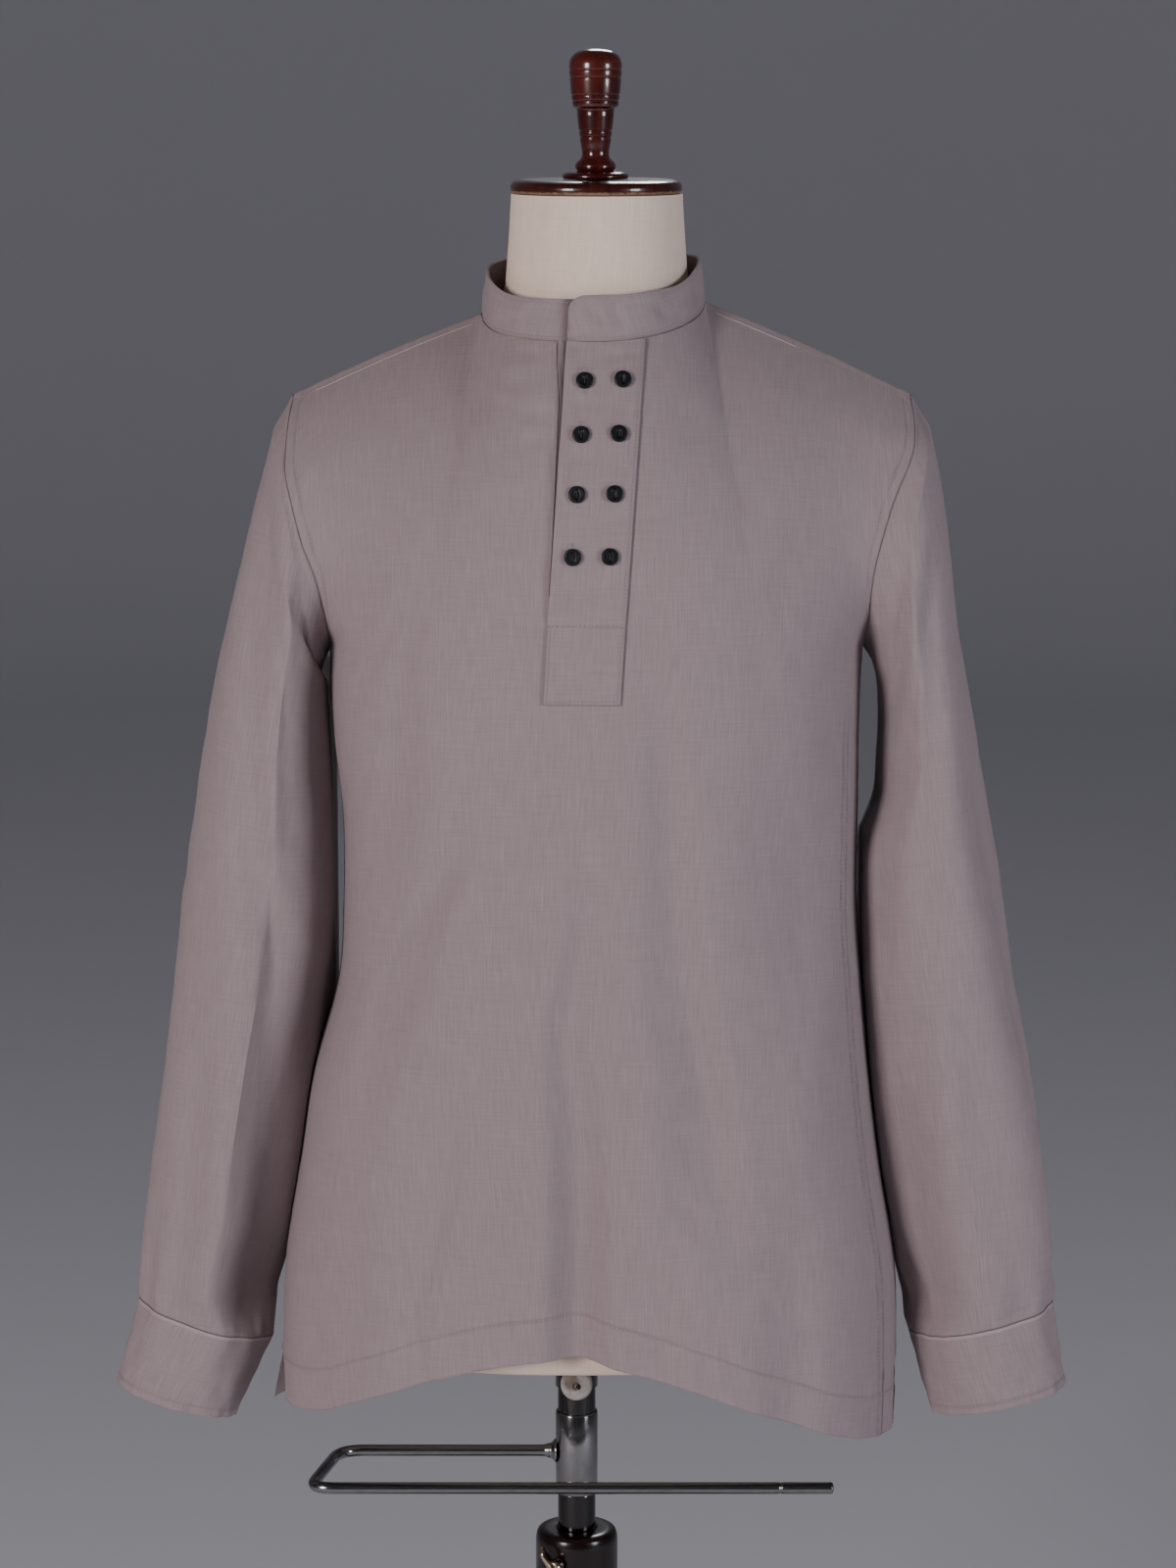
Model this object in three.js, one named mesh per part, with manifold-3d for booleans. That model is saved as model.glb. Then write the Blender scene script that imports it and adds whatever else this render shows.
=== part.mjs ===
// Short kurta with a half placket, worn by a limbless dress form on its stand.
// Millimetres, +Z up. The origin is on the floor under the pole.
// The chest faces -Y, and +X is on the right of someone who looks at the chest.

import * as THREE from 'three';
import { mergeVertices } from 'three/addons/utils/BufferGeometryUtils.js';
import Module from 'manifold-3d';

const wasm = await Module();
wasm.setup();

// Cloth thicknesses and the gap that every seam keeps
const CLOTH = 1.2;
const DOUBLED = 1.7;
const SEAM = 0.35;

// Body panels: squareness of the level sections and the number of cells in each direction
const SQUARE = 2.3;
const SIDE_Y = 4;
const TOP_ROWS = 9;
const LOW_ROWS = 14;
const NECK_COLS = 5;
const OUTER_COLS = 8;
const HALF_COLS = 1 + NECK_COLS + OUTER_COLS;

// Neckline: centre, half width and half depth of the loop that the collar stands on
const NECK = { x: 11.5, y: -7, halfWidth: 75, halfDepth: 72, front: 1308, back: 1331 };

// Placket: half width, its centre line at the neck, and the heights of its slot and lower end
const PLACKET = { half: 25.5, x: 20, firstRow: 0.35, slotRows: 8, end: 1074 };

// Chest line: where the armholes end, at the middle and at the sides
const CHEST = { middle: 1110, side: 1096 };

// Garment sections under the arms: half outlines at each height, with the front's middle
const SECTIONS = [
  { z: 1110, left: -167, right: 196, front: -122, back: 112, mid: 6 },
  { z: 1076, left: -168, right: 194, front: -123, back: 111, mid: 4 },
  { z: 1035, left: -166, right: 193, front: -124, back: 109, mid: 2 },
  { z: 981, left: -160, right: 193, front: -124, back: 106, mid: -1 },
  { z: 920, left: -160, right: 193, front: -124, back: 105, mid: -3 },
  { z: 865, left: -164, right: 197, front: -124, back: 106, mid: -4 },
  { z: 798, left: -182, right: 203, front: -124, back: 108, mid: -3 },
  { z: 740, left: -191, right: 210, front: -124, back: 110, mid: -2 },
  { z: 663, left: -203, right: 222, front: -125, back: 112, mid: -1 },
  { z: 600, left: -206, right: 224, front: -126, back: 113, mid: 0 },
  { z: 530, left: -207, right: 223, front: -127, back: 114, mid: 0 },
];

// Each side: where the shoulder seam meets the neck and the sleeve, and how the neckline climbs to it
const SIDES = {
  left: { sign: -1, neckZ: 1322, tip: { x: -190, y: -4, z: 1268 }, climb: 1.75 },
  right: { sign: 1, neckZ: 1330, tip: { x: 225, y: -4, z: 1268 }, climb: 1.0 },
};

// Armhole seams, from the shoulder tip down to the armpit, front and back
const ARMHOLES = {
  left: [
    { z: 1268, x: -190, front: -4, back: -4 },
    { z: 1250, x: -193, front: -24, back: 18 },
    { z: 1221, x: -194, front: -47, back: 39 },
    { z: 1202, x: -190, front: -56, back: 49 },
    { z: 1172, x: -182, front: -61, back: 56 },
    { z: 1150, x: -174, front: -57, back: 54 },
    { z: 1128, x: -169, front: -46, back: 46 },
    { z: 1110, x: -167, front: -28, back: 32 },
    { z: 1096, x: -167, front: 4, back: 4 },
  ],
  right: [
    { z: 1268, x: 225, front: -4, back: -4 },
    { z: 1250, x: 227, front: -24, back: 18 },
    { z: 1232, x: 225, front: -41, back: 34 },
    { z: 1202, x: 212, front: -56, back: 50 },
    { z: 1180, x: 205, front: -60, back: 55 },
    { z: 1155, x: 199, front: -57, back: 54 },
    { z: 1136, x: 197, front: -49, back: 48 },
    { z: 1116, x: 196, front: -33, back: 36 },
    { z: 1096, x: 196, front: 4, back: 4 },
  ],
};

// Hem height across each panel, and the side slits
const FRONT_HEM = [
  { x: -206, z: 569 }, { x: -177, z: 575 }, { x: -151, z: 588 }, { x: -109, z: 606 }, { x: -55, z: 622 },
  { x: -4, z: 627 }, { x: 31, z: 620 }, { x: 80, z: 604 }, { x: 135, z: 580 }, { x: 186, z: 558 },
  { x: 222, z: 547 },
];
const BACK_HEM = [
  { x: -207, z: 558 }, { x: -150, z: 568 }, { x: -60, z: 588 }, { x: 20, z: 590 }, { x: 100, z: 572 },
  { x: 180, z: 548 }, { x: 224, z: 540 },
];
const HEM_LEVEL = 600;
const SLIT = { top: 602, front: 12, back: 7 };

// Largest folds of the body panels, as soft troughs between two points of the panel
const FRONT_FOLDS = [
  { x0: 14, z0: 1000, x1: -8, z1: 850, width: 20, depth: 8 },
  { x0: -8, z0: 860, x1: -2, z1: 610, width: 24, depth: 18 },
  { x0: -68, z0: 1022, x1: -130, z1: 850, width: 18, depth: 13 },
  { x0: -107, z0: 1135, x1: -145, z1: 1040, width: 16, depth: 6 },
  { x0: 52, z0: 1000, x1: 68, z1: 760, width: 20, depth: 8 },
  { x0: 110, z0: 1050, x1: 112, z1: 600, width: 24, depth: 10 },
  { x0: 182, z0: 1085, x1: 184, z1: 940, width: 15, depth: 14 },
  { x0: -92, z0: 760, x1: -100, z1: 610, width: 15, depth: 12 },
  { x0: -160, z0: 820, x1: -172, z1: 600, width: 18, depth: 6 },
];
const BACK_FOLDS = [
  { x0: -20, z0: 1180, x1: -60, z1: 850, width: 22, depth: 7 },
  { x0: -62, z0: 900, x1: -80, z1: 590, width: 26, depth: 11 },
  { x0: 70, z0: 1120, x1: 96, z1: 800, width: 20, depth: 8 },
  { x0: 30, z0: 900, x1: 24, z1: 600, width: 24, depth: 10 },
  { x0: 118, z0: 860, x1: 130, z1: 580, width: 20, depth: 9 },
  { x0: -140, z0: 1020, x1: -150, z1: 700, width: 18, depth: 7 },
];

// Sleeves, ring by ring from the armhole to the cuff: outer and inner edge as the front view shows them,
// with the nearest and farthest reach in depth
const SLEEVES = {
  left: [
    { outX: -204, outZ: 1246, inX: -172, inZ: 1086, front: -64, back: 60 },
    { outX: -212, outZ: 1212, inX: -176, inZ: 1072, front: -66, back: 62 },
    { outX: -222, outZ: 1174, inX: -177, inZ: 1052, front: -66, back: 62 },
    { outX: -235, outZ: 1124, inX: -175, inZ: 1026, front: -65, back: 61 },
    { outX: -247, outZ: 1070, inX: -172, inZ: 992, front: -64, back: 60 },
    { outX: -257, outZ: 1016, inX: -168, inZ: 956, front: -63, back: 59 },
    { outX: -266, outZ: 956, inX: -167, inZ: 912, front: -62, back: 58 },
    { outX: -274, outZ: 894, inX: -172, inZ: 864, front: -60, back: 55 },
    { outX: -283, outZ: 830, inX: -184, inZ: 808, front: -58, back: 51 },
    { outX: -291, outZ: 768, inX: -196, inZ: 748, front: -55, back: 47 },
    { outX: -298, outZ: 708, inX: -206, inZ: 689, front: -51, back: 42 },
    { outX: -303, outZ: 661, inX: -211, inZ: 641, front: -46, back: 36 },
    { outX: -304, outZ: 637, inX: -214, inZ: 609, front: -42, back: 32 },
  ],
  right: [
    { outX: 239, outZ: 1246, inX: 202, inZ: 1086, front: -64, back: 60 },
    { outX: 247, outZ: 1208, inX: 206, inZ: 1070, front: -66, back: 62 },
    { outX: 253, outZ: 1166, inX: 208, inZ: 1048, front: -66, back: 62 },
    { outX: 259, outZ: 1112, inX: 207, inZ: 1018, front: -65, back: 61 },
    { outX: 270, outZ: 1052, inX: 205, inZ: 980, front: -64, back: 60 },
    { outX: 281, outZ: 992, inX: 200, inZ: 940, front: -62, back: 58 },
    { outX: 293, outZ: 926, inX: 200, inZ: 890, front: -60, back: 56 },
    { outX: 303, outZ: 862, inX: 204, inZ: 838, front: -58, back: 53 },
    { outX: 316, outZ: 800, inX: 209, inZ: 784, front: -56, back: 50 },
    { outX: 328, outZ: 738, inX: 218, inZ: 724, front: -53, back: 46 },
    { outX: 333, outZ: 685, inX: 227, inZ: 672, front: -50, back: 42 },
    { outX: 334, outZ: 649, inX: 231, inZ: 633, front: -46, back: 37 },
    { outX: 333, outZ: 634, inX: 234, inZ: 612, front: -43, back: 33 },
  ],
};

// Long troughs of the sleeves: place round the ring in degrees from the outer edge towards the front
const SLEEVE_GAP = 0.8;
const SLEEVE_START = 1.6;
const SLEEVE_RINGS = 17;
const RING_COLUMNS = ['outX', 'outZ', 'inX', 'inZ', 'front', 'back'];
const SLEEVE_FOLDS = {
  left: [
    { from: 1.5, to: 7.5, angle: 48, turn: 6, width: 15, depth: 7 },
    { from: 6.5, to: 13, angle: 92, turn: 8, width: 15, depth: 12 },
    { from: 2, to: 9, angle: 215, turn: -10, width: 18, depth: 8 },
    { from: 7, to: 13, angle: 282, turn: 8, width: 16, depth: 8 },
  ],
  right: [
    { from: 2, to: 9, angle: 70, turn: 6, width: 15, depth: 6 },
    { from: 9, to: 13, angle: 128, turn: 4, width: 13, depth: 8 },
    { from: 5, to: 12, angle: 32, turn: -6, width: 15, depth: 6 },
    { from: 2, to: 10, angle: 240, turn: 10, width: 18, depth: 9 },
  ],
};

// Cuffs: bottom ring of each band, in the sleeve rings' own columns
const CUFFS = {
  left: { outX: -322, outZ: 578, inX: -239, inZ: 554, front: -42, back: 20 },
  right: { outX: 342, outZ: 576, inX: 249, inZ: 557, front: -44, back: 22 },
};

// Collar band: height at the front and back, lean inwards at its top, the upper end's round corner
const COLLAR = { front: 27, back: 31, lean: 3.5, round: 12, endShares: [0, 0.04, 0.14, 0.3, 0.5, 1] };

// Buttons: size, rows down the placket and their two places across it
const BUTTON = { radius: 5.7, thick: 2.4, heights: [1283, 1249, 1211, 1171], across: [-12.2, 11.8] };

const BUTTON_LIFT = 0.75;
const FOLD_ROOM = 0.9;

// Form: how far its surface lies inside the cloth, at the sides and at the front and back
const FORM_INSET = [
  { z: 1270, side: 0.45, face: 0.45 },
  { z: 1200, side: 1.2, face: 1.2 },
  { z: 1110, side: 3, face: 3 },
  { z: 1035, side: 8, face: 9 },
  { z: 920, side: 20, face: 17 },
  { z: 865, side: 22, face: 18 },
  { z: 798, side: 18, face: 17 },
  { z: 700, side: 20, face: 18 },
  { z: 612, side: 26, face: 20 },
];
const FORM = { bottom: 612, rows: 9, plate: 5, neckX: 14, neckY: -7, neckTop: 1402,
  neckRings: [[57.5, 1402], [59.5, 1368], [61.5, 1342]] };

// Stand: radii and heights of the turned and tubular pieces
const POLE = { radius: 13.25, bottom: 66, top: 646 };
const SOCKET = { outer: 14.9, inner: 13.6, bottom: 570, top: 652 };
const BAR = { z: 522, outer: 14.8, inner: 13.6, bottom: 492, top: 552 };
const ROD = { radius: 4.1, reach: 79, back: -167, front: -184, bend: 17, end: 177 };
const COLUMN = { radius: 29, bore: 13.6, bottom: 25.3, top: 466, round: 6, floor: 40 };
const BASE = { radius: 180, height: 25, round: 9 };
const CAP = { x: 13.5, bottom: 1402.3, radius: 57.5 };
const KNOB = { z: 577, radius: 8.7, shaft: 2.5, length: 8 };
const SCREW = { z: 447, shaft: 3, head: 31, hub: 6, wing: 34, angle: -0.44, turn: 0.6 };
const SEGMENTS = 24;

const COLOURS = {
  cloth: [0x9a8482, 0.85, 0],
  button: [0x15130f, 0.35, 0],
  form: [0xd9cfbd, 0.9, 0],
  wood: [0x4a1d12, 0.28, 0],
  metal: [0xc9cbcc, 0.18, 1],
  knob: [0xcfc9bd, 0.5, 0],
};

const group = new THREE.Group();
const clamp01 = (t) => Math.min(1, Math.max(0, t));
const lerp = (a, b, t) => a + (b - a) * t;
const smooth = (t) => clamp01(t) ** 2 * (3 - 2 * clamp01(t));
const vec = (x, y, z) => new THREE.Vector3(x, y, z);

function material(name) {
  const [color, roughness, metalness] = COLOURS[name];
  return new THREE.MeshStandardMaterial({ color, roughness, metalness });
}

function add(name, geometry, finish, x = 0, y = 0, z = 0) {
  const mesh = new THREE.Mesh(geometry, material(finish));
  mesh.name = name;
  mesh.position.set(x, y, z);
  group.add(mesh);
  return mesh;
}

// Reads one column of a table at a place between its rows, on a smooth curve through them
function read(rows, key, at, column) {
  const rising = rows[rows.length - 1][key] > rows[0][key];
  const passed = (row) => (rising ? row[key] <= at : row[key] >= at);
  let i = 0;
  while (i < rows.length - 2 && passed(rows[i + 1])) i += 1;
  const slope = (a, b) => (rows[b][column] - rows[a][column]) / (rows[b][key] - rows[a][key]);
  const span = rows[i + 1][key] - rows[i][key];
  const t = clamp01((at - rows[i][key]) / span);
  const m0 = span * slope(Math.max(i - 1, 0), i + 1);
  const m1 = span * slope(i, Math.min(i + 2, rows.length - 1));
  const [p0, p1] = [rows[i][column], rows[i + 1][column]];
  return p0 * (2 * t ** 3 - 3 * t ** 2 + 1) + m0 * (t ** 3 - 2 * t ** 2 + t)
    + p1 * (3 * t ** 2 - 2 * t ** 3) + m1 * (t ** 3 - t ** 2);
}

const section = (z, column) => read(SECTIONS, 'z', z, column);

// Depth of the unfolded panel at a distance d from the middle: face is its front or back reach
function panelDepth(face, half, d) {
  return SIDE_Y + (face - SIDE_Y) * (1 - Math.min(1, d / half) ** SQUARE) ** (1 / SQUARE);
}

// Distance of a column from the middle: a straight strip for the placket, then closer towards the side
function columnDistance(half, k) {
  const q = (k - 1) / (HALF_COLS - 1);
  return k <= 1 ? PLACKET.half * k : PLACKET.half + (half - PLACKET.half) * Math.sin((q * Math.PI) / 2);
}

// Top edge of a panel: neckline from the middle to the shoulder seam, then the seam out to the tip
function topEdge(side, k, isFront) {
  const { sign, neckZ, tip, climb } = SIDES[side];
  const neckEnd = 1 + NECK_COLS;
  if (k > neckEnd) {
    const t = (k - neckEnd) / OUTER_COLS;
    const x = lerp(NECK.x + sign * NECK.halfWidth, tip.x, t);
    return vec(x, lerp(-8, tip.y, t), lerp(neckZ, tip.z, t) + 2 * Math.sin(Math.PI * t));
  }
  const start = Math.asin((PLACKET.x + sign * PLACKET.half - NECK.x) / NECK.halfWidth) * sign;
  const middle = Math.asin((PLACKET.x - NECK.x) / NECK.halfWidth) * sign;
  const angle = k <= 1 ? lerp(middle, start, k) : lerp(start, Math.PI / 2, (k - 1) / NECK_COLS);
  const x = NECK.x + sign * NECK.halfWidth * Math.sin(angle);
  const reach = NECK.halfDepth * Math.cos(angle);
  const rise = (1 - Math.cos(angle)) ** (isFront ? climb : 1);
  const z = lerp(isFront ? NECK.front : NECK.back, neckZ, rise);
  return vec(x, isFront ? NECK.y - reach : NECK.y + reach, z);
}

// How deep the folds press a panel in at one of its points, and never as far as the form under it
function foldDepth(folds, x, z) {
  let depth = 0;
  for (const fold of folds) {
    const along = vec(fold.x1 - fold.x0, fold.z1 - fold.z0, 0);
    const from = vec(x - fold.x0, z - fold.z0, 0);
    const t = from.dot(along) / along.lengthSq();
    const off = Math.abs(from.x * along.y - from.y * along.x) / along.length();
    const end = smooth((t + 0.15) / 0.4) * smooth((1.15 - t) / 0.3);
    depth += fold.depth * Math.exp(-((off / fold.width) ** 2)) * end;
  }
  const room = read(FORM_INSET, 'z', z, 'face') * FOLD_ROOM;
  return room * Math.tanh(depth / room);
}

// A point of the garment's plain form under the arms, column k of a side at one height
function levelPoint(face, side, k, z) {
  const { sign } = SIDES[side];
  const middle = section(z, 'mid');
  const half = sign * (section(z, side) - middle);
  const d = columnDistance(half, k);
  return vec(middle + sign * d, panelDepth(section(z, face), half, d), z);
}

const chestHeight = (k) => lerp(CHEST.middle, CHEST.side, (k / HALF_COLS) ** 3);

// The same above the armpit: w goes from 0 at the top edge to 1 at the chest line
function yokePoint(face, side, k, w) {
  const shoulder = smooth((k / HALF_COLS - 0.2) / 0.5);
  const fall = 1 - (1 - w) ** lerp(2, 3.2, shoulder);
  const top = topEdge(side, k, face === 'front');
  const chest = levelPoint(face, side, k, chestHeight(k));
  return vec(lerp(top.x, chest.x, w), lerp(top.y, chest.y, fall), lerp(top.z, chest.z, w));
}

function armholePoint(face, side, w) {
  const z = lerp(SIDES[side].tip.z, CHEST.side, w);
  return vec(read(ARMHOLES[side], 'z', z, 'x'), read(ARMHOLES[side], 'z', z, face), z);
}

// The plain form with the armhole's edge drawn to its seam, without folds or seam gaps
function formPoint(face, side, k, w, z) {
  if (w >= 1) return levelPoint(face, side, k, z);
  const point = yokePoint(face, side, k, w);
  const edge = armholePoint(face, side, w).sub(yokePoint(face, side, HALF_COLS, w));
  return point.addScaledVector(edge, (k / HALF_COLS) ** 4);
}

const rowShare = (r) => (r / TOP_ROWS) ** 1.6;

// One point of the front or back, column k of a side, row r from the top edge to the hem
function panelPoint(face, side, k, r) {
  const isFront = face === 'front';
  const outwards = isFront ? -1 : 1;
  const foot = levelPoint(face, side, k, HEM_LEVEL);
  const hemZ = read(isFront ? FRONT_HEM : BACK_HEM, 'x', foot.x, 'z');
  const z = lerp(chestHeight(k), hemZ, (r - TOP_ROWS) / LOW_ROWS);
  const point = formPoint(face, side, k, rowShare(r), z);
  const onSide = k === HALF_COLS;
  const onShoulder = r === 0 && k > 1 + NECK_COLS;
  if (onSide || onShoulder) point.y += (outwards * SEAM) / 2;
  if (onSide) point.y += outwards * SLIT[face] * smooth((SLIT.top - point.z) / 60);
  const inward = Math.sqrt(clamp01(1 - (k / HALF_COLS) ** 6));
  point.y -= outwards * foldDepth(isFront ? FRONT_FOLDS : BACK_FOLDS, point.x, point.z) * inward;
  return point;
}

// Rows of points across the whole body: the front from left to right, the back from right to left
function bodyGrid(face, rowCount, pointAt) {
  const rows = [];
  for (let r = 0; r < rowCount; r += 1) {
    const row = [];
    for (let c = -HALF_COLS; c <= HALF_COLS; c += 1) {
      const side = (face === 'front' ? c : -c) < 0 ? 'left' : 'right';
      row.push(pointAt(face, side, Math.abs(c), r));
    }
    rows.push(row);
  }
  return rows;
}

// Outward unit normals of a grid whose columns go counterclockwise seen from above and rows go down
function gridNormals(grid, closed = false) {
  const height = grid.length;
  const width = grid[0].length;
  return grid.map((row, r) => row.map((_, c) => {
    const up = grid[Math.max(r - 1, 0)][c];
    const down = grid[Math.min(r + 1, height - 1)][c];
    const before = closed ? row[(c + width - 1) % width] : row[Math.max(c - 1, 0)];
    const after = closed ? row[(c + 1) % width] : row[Math.min(c + 1, width - 1)];
    return down.clone().sub(up).cross(after.clone().sub(before)).normalize();
  }));
}

const shifted = (grid, normals, distance) => grid.map((row, r) =>
  row.map((p, c) => p.clone().addScaledVector(normals[r][c], distance)));

// A closed wall between an outer and an inner grid, with its edges and any cut-out walled off
function wallGeometry(outer, inner, closed = false, keep = () => true) {
  const height = outer.length;
  const width = outer[0].length;
  const cells = closed ? width : width - 1;
  const positions = [...outer.flat(), ...inner.flat()].flatMap((p) => [p.x, p.y, p.z]);
  const at = (r, c, layer) => layer * width * height + r * width + (c % width);
  const present = (r, c) => {
    if (r < 0 || r >= height - 1) return false;
    if (closed) return keep(r, (c + cells) % cells);
    return c >= 0 && c < cells && keep(r, c);
  };
  const index = [];
  const quad = (a, b, c, d) => index.push(a, b, c, a, c, d);
  for (let r = 0; r < height - 1; r += 1) {
    for (let c = 0; c < cells; c += 1) {
      if (present(r, c)) {
        const [a, b, d, e] = [at(r, c, 0), at(r + 1, c, 0), at(r + 1, c + 1, 0), at(r, c + 1, 0)];
        const [ai, bi, di, ei] = [at(r, c, 1), at(r + 1, c, 1), at(r + 1, c + 1, 1), at(r, c + 1, 1)];
        quad(a, b, d, e);
        quad(ai, ei, di, bi);
        if (!present(r - 1, c)) quad(a, e, ei, ai);
        if (!present(r + 1, c)) quad(bi, di, d, b);
        if (!present(r, c - 1)) quad(a, ai, bi, b);
        if (!present(r, c + 1)) quad(e, d, di, ei);
      }
    }
  }
  const geometry = new THREE.BufferGeometry();
  geometry.setAttribute('position', new THREE.Float32BufferAttribute(positions, 3));
  geometry.setIndex(index);
  return geometry;
}

function lathe(points, segments = SEGMENTS) {
  const outline = points.map(([radius, z]) => new THREE.Vector2(radius, z));
  return new THREE.LatheGeometry(outline, segments).rotateX(Math.PI / 2);
}

// Booleans on closed meshes
function toSolid(geometry) {
  const plain = geometry.clone();
  plain.deleteAttribute('normal');
  plain.deleteAttribute('uv');
  const merged = mergeVertices(plain, 1e-4);
  return new wasm.Manifold(new wasm.Mesh({
    numProp: 3,
    vertProperties: new Float32Array(merged.attributes.position.array),
    triVerts: new Uint32Array(merged.index.array),
  }));
}

function toGeometry(solid) {
  const mesh = solid.getMesh();
  const geometry = new THREE.BufferGeometry();
  geometry.setAttribute('position', new THREE.BufferAttribute(new Float32Array(mesh.vertProperties), 3));
  geometry.setIndex(new THREE.BufferAttribute(new Uint32Array(mesh.triVerts), 1));
  return geometry;
}

// Where the front and the back meet, both walls lean the same way, so that they don't cross
function shareNormals(frontNormals, backNormals) {
  const last = 2 * HALF_COLS;
  frontNormals.forEach((row, r) => row.forEach((normal, c) => {
    const other = backNormals[r][last - c];
    const onSide = (c === 0 || c === last) && (r === 0 || r >= TOP_ROWS);
    const onShoulder = r === 0 && Math.abs(c - HALF_COLS) > NECK_COLS;
    if (!onSide && !onShoulder) return;
    const shared = normal.clone().add(other).normalize();
    normal.copy(shared);
    other.copy(shared);
  }));
}

// Front and back

const ROWS = TOP_ROWS + LOW_ROWS + 1;
const front = bodyGrid('front', ROWS, panelPoint);
const back = bodyGrid('back', ROWS, panelPoint);
const frontNormals = gridNormals(front);
const backNormals = gridNormals(back);
shareNormals(frontNormals, backNormals);
const inSlot = (r, c) => r < PLACKET.slotRows && (c === HALF_COLS - 1 || c === HALF_COLS);
const frontWall = wallGeometry(front, shifted(front, frontNormals, -CLOTH), false, (r, c) => !inSlot(r, c));
add('front', frontWall, 'cloth');
add('back', wallGeometry(back, shifted(back, backNormals, -CLOTH)), 'cloth');

// Plackets: strips of the front's middle columns, moved out from its own points

function strip(name, lastRow, halfShare, lift, thick) {
  const rows = [PLACKET.firstRow];
  for (let r = 1; r < lastRow; r += 1) rows.push(r);
  rows.push(lastRow);
  const grid = rows.map((r) => [['left', halfShare], ['left', 0], ['right', halfShare]].map(
    ([side, k]) => panelPoint('front', side, k, r)));
  const normals = gridNormals(grid);
  add(name, wallGeometry(shifted(grid, normals, lift + thick), shifted(grid, normals, lift)), 'cloth');
}

// Row of the front's middle at a height, by halving
function rowAt(z) {
  let [low, high] = [0, ROWS - 1];
  for (let i = 0; i < 24; i += 1) {
    const mid = (low + high) / 2;
    if (panelPoint('front', 'left', 0, mid).z > z) low = mid;
    else high = mid;
  }
  return low;
}

strip('placket_over', rowAt(PLACKET.end), 1, SEAM, DOUBLED);
strip('placket_under', PLACKET.slotRows - 0.03, 1 - SEAM / PLACKET.half, -CLOTH, CLOTH);

// Sleeves: rings from the armhole's own points to the cuff, then the cuff's band

function sleeveRing(row, angles, deepen) {
  const middle = vec((row.outX + row.inX) / 2, (row.front + row.back) / 2, (row.outZ + row.inZ) / 2);
  const outer = vec((row.outX - row.inX) / 2, 0, (row.outZ - row.inZ) / 2);
  const depth = (row.back - row.front) / 2;
  return angles.map((angle) => {
    const inward = 1 - deepen(angle) / Math.hypot(outer.x, depth);
    const point = middle.clone().addScaledVector(outer, Math.cos(angle) * inward);
    point.y -= depth * Math.sin(angle) * inward;
    return point;
  });
}

function sleeve(side) {
  const { sign } = SIDES[side];
  const seamPoints = [];
  const seamAngles = [];
  for (let r = 0; r < TOP_ROWS; r += 1) {
    seamPoints.push(armholePoint('front', side, rowShare(r)));
    seamAngles.push(Math.acos(1 - 2 * rowShare(r)));
  }
  for (let r = TOP_ROWS; r > 0; r -= 1) {
    seamPoints.push(armholePoint('back', side, rowShare(r)));
    seamAngles.push(2 * Math.PI - Math.acos(1 - 2 * rowShare(r)));
  }
  const columns = seamPoints.length;
  const table = SLEEVES[side].map((row, i) => ({ ...row, ring: i + 1 }));
  const last = table.length;
  const grid = [seamPoints.map((p) => p.clone().add(vec(sign * SLEEVE_GAP, 0, 0)))];
  for (let i = 1; i <= SLEEVE_RINGS; i += 1) {
    const at = 1 + ((last - 1) * (i - 1)) / (SLEEVE_RINGS - 1);
    const row = {};
    for (const column of RING_COLUMNS) row[column] = read(table, 'ring', at, column);
    const even = smooth(at / 4);
    const angles = seamAngles.map((angle, c) => lerp(angle, (2 * Math.PI * c) / columns, even));
    const radius = (row.back - row.front + Math.abs(row.outX - row.inX)) / 4;
    const deepen = (angle) => SLEEVE_FOLDS[side].reduce((sum, fold) => {
      const middle = ((fold.angle + fold.turn * (at - fold.from)) * Math.PI) / 180;
      const turn = Math.abs(((angle - middle + 3 * Math.PI) % (2 * Math.PI)) - Math.PI);
      const off = (turn * radius) / fold.width;
      const end = smooth((at - fold.from + 0.5) / 1.5) * smooth((fold.to - at + 0.6) / 1.5);
      return sum + fold.depth * Math.exp(-(off ** 2)) * end;
    }, 0);
    const ring = sleeveRing(row, angles, deepen);
    ring.forEach((p, c) => {
      p.x = sign * Math.max(sign * p.x, sign * grid[0][c].x + SLEEVE_START * at * (1 - smooth(at / 5)));
    });
    grid.push(ring);
  }
  const bottom = sleeveRing(CUFFS[side], seamAngles.map((_, c) => (2 * Math.PI * c) / columns), () => 0);
  const cuffTop = grid[grid.length - 1].map((p, c) => p.clone().lerp(bottom[c], SEAM / 50));
  const cuff = [cuffTop, cuffTop.map((p, c) => p.clone().lerp(bottom[c], 0.5)), bottom];
  if (side === 'right') [...grid, ...cuff].forEach((row) => row.reverse());
  const normals = gridNormals(grid, true);
  add(`sleeve_${side}`, wallGeometry(grid, shifted(grid, normals, -CLOTH), true), 'cloth');
  const cuffNormals = gridNormals(cuff, true);
  add(`cuff_${side}`, wallGeometry(cuff, shifted(cuff, cuffNormals, -DOUBLED), true), 'cloth');
}

sleeve('left');
sleeve('right');

// Collar: an open band round the neckline whose upper end laps over the other

function necklinePoint(angle) {
  const inFront = Math.cos(angle) > 0;
  const side = SIDES[Math.sin(angle) < 0 ? 'left' : 'right'];
  const rise = (1 - Math.abs(Math.cos(angle))) ** (inFront ? side.climb : 1);
  const z = lerp(inFront ? NECK.front : NECK.back, side.neckZ, rise);
  return vec(NECK.x + NECK.halfWidth * Math.sin(angle), NECK.y - NECK.halfDepth * Math.cos(angle), z);
}

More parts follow.
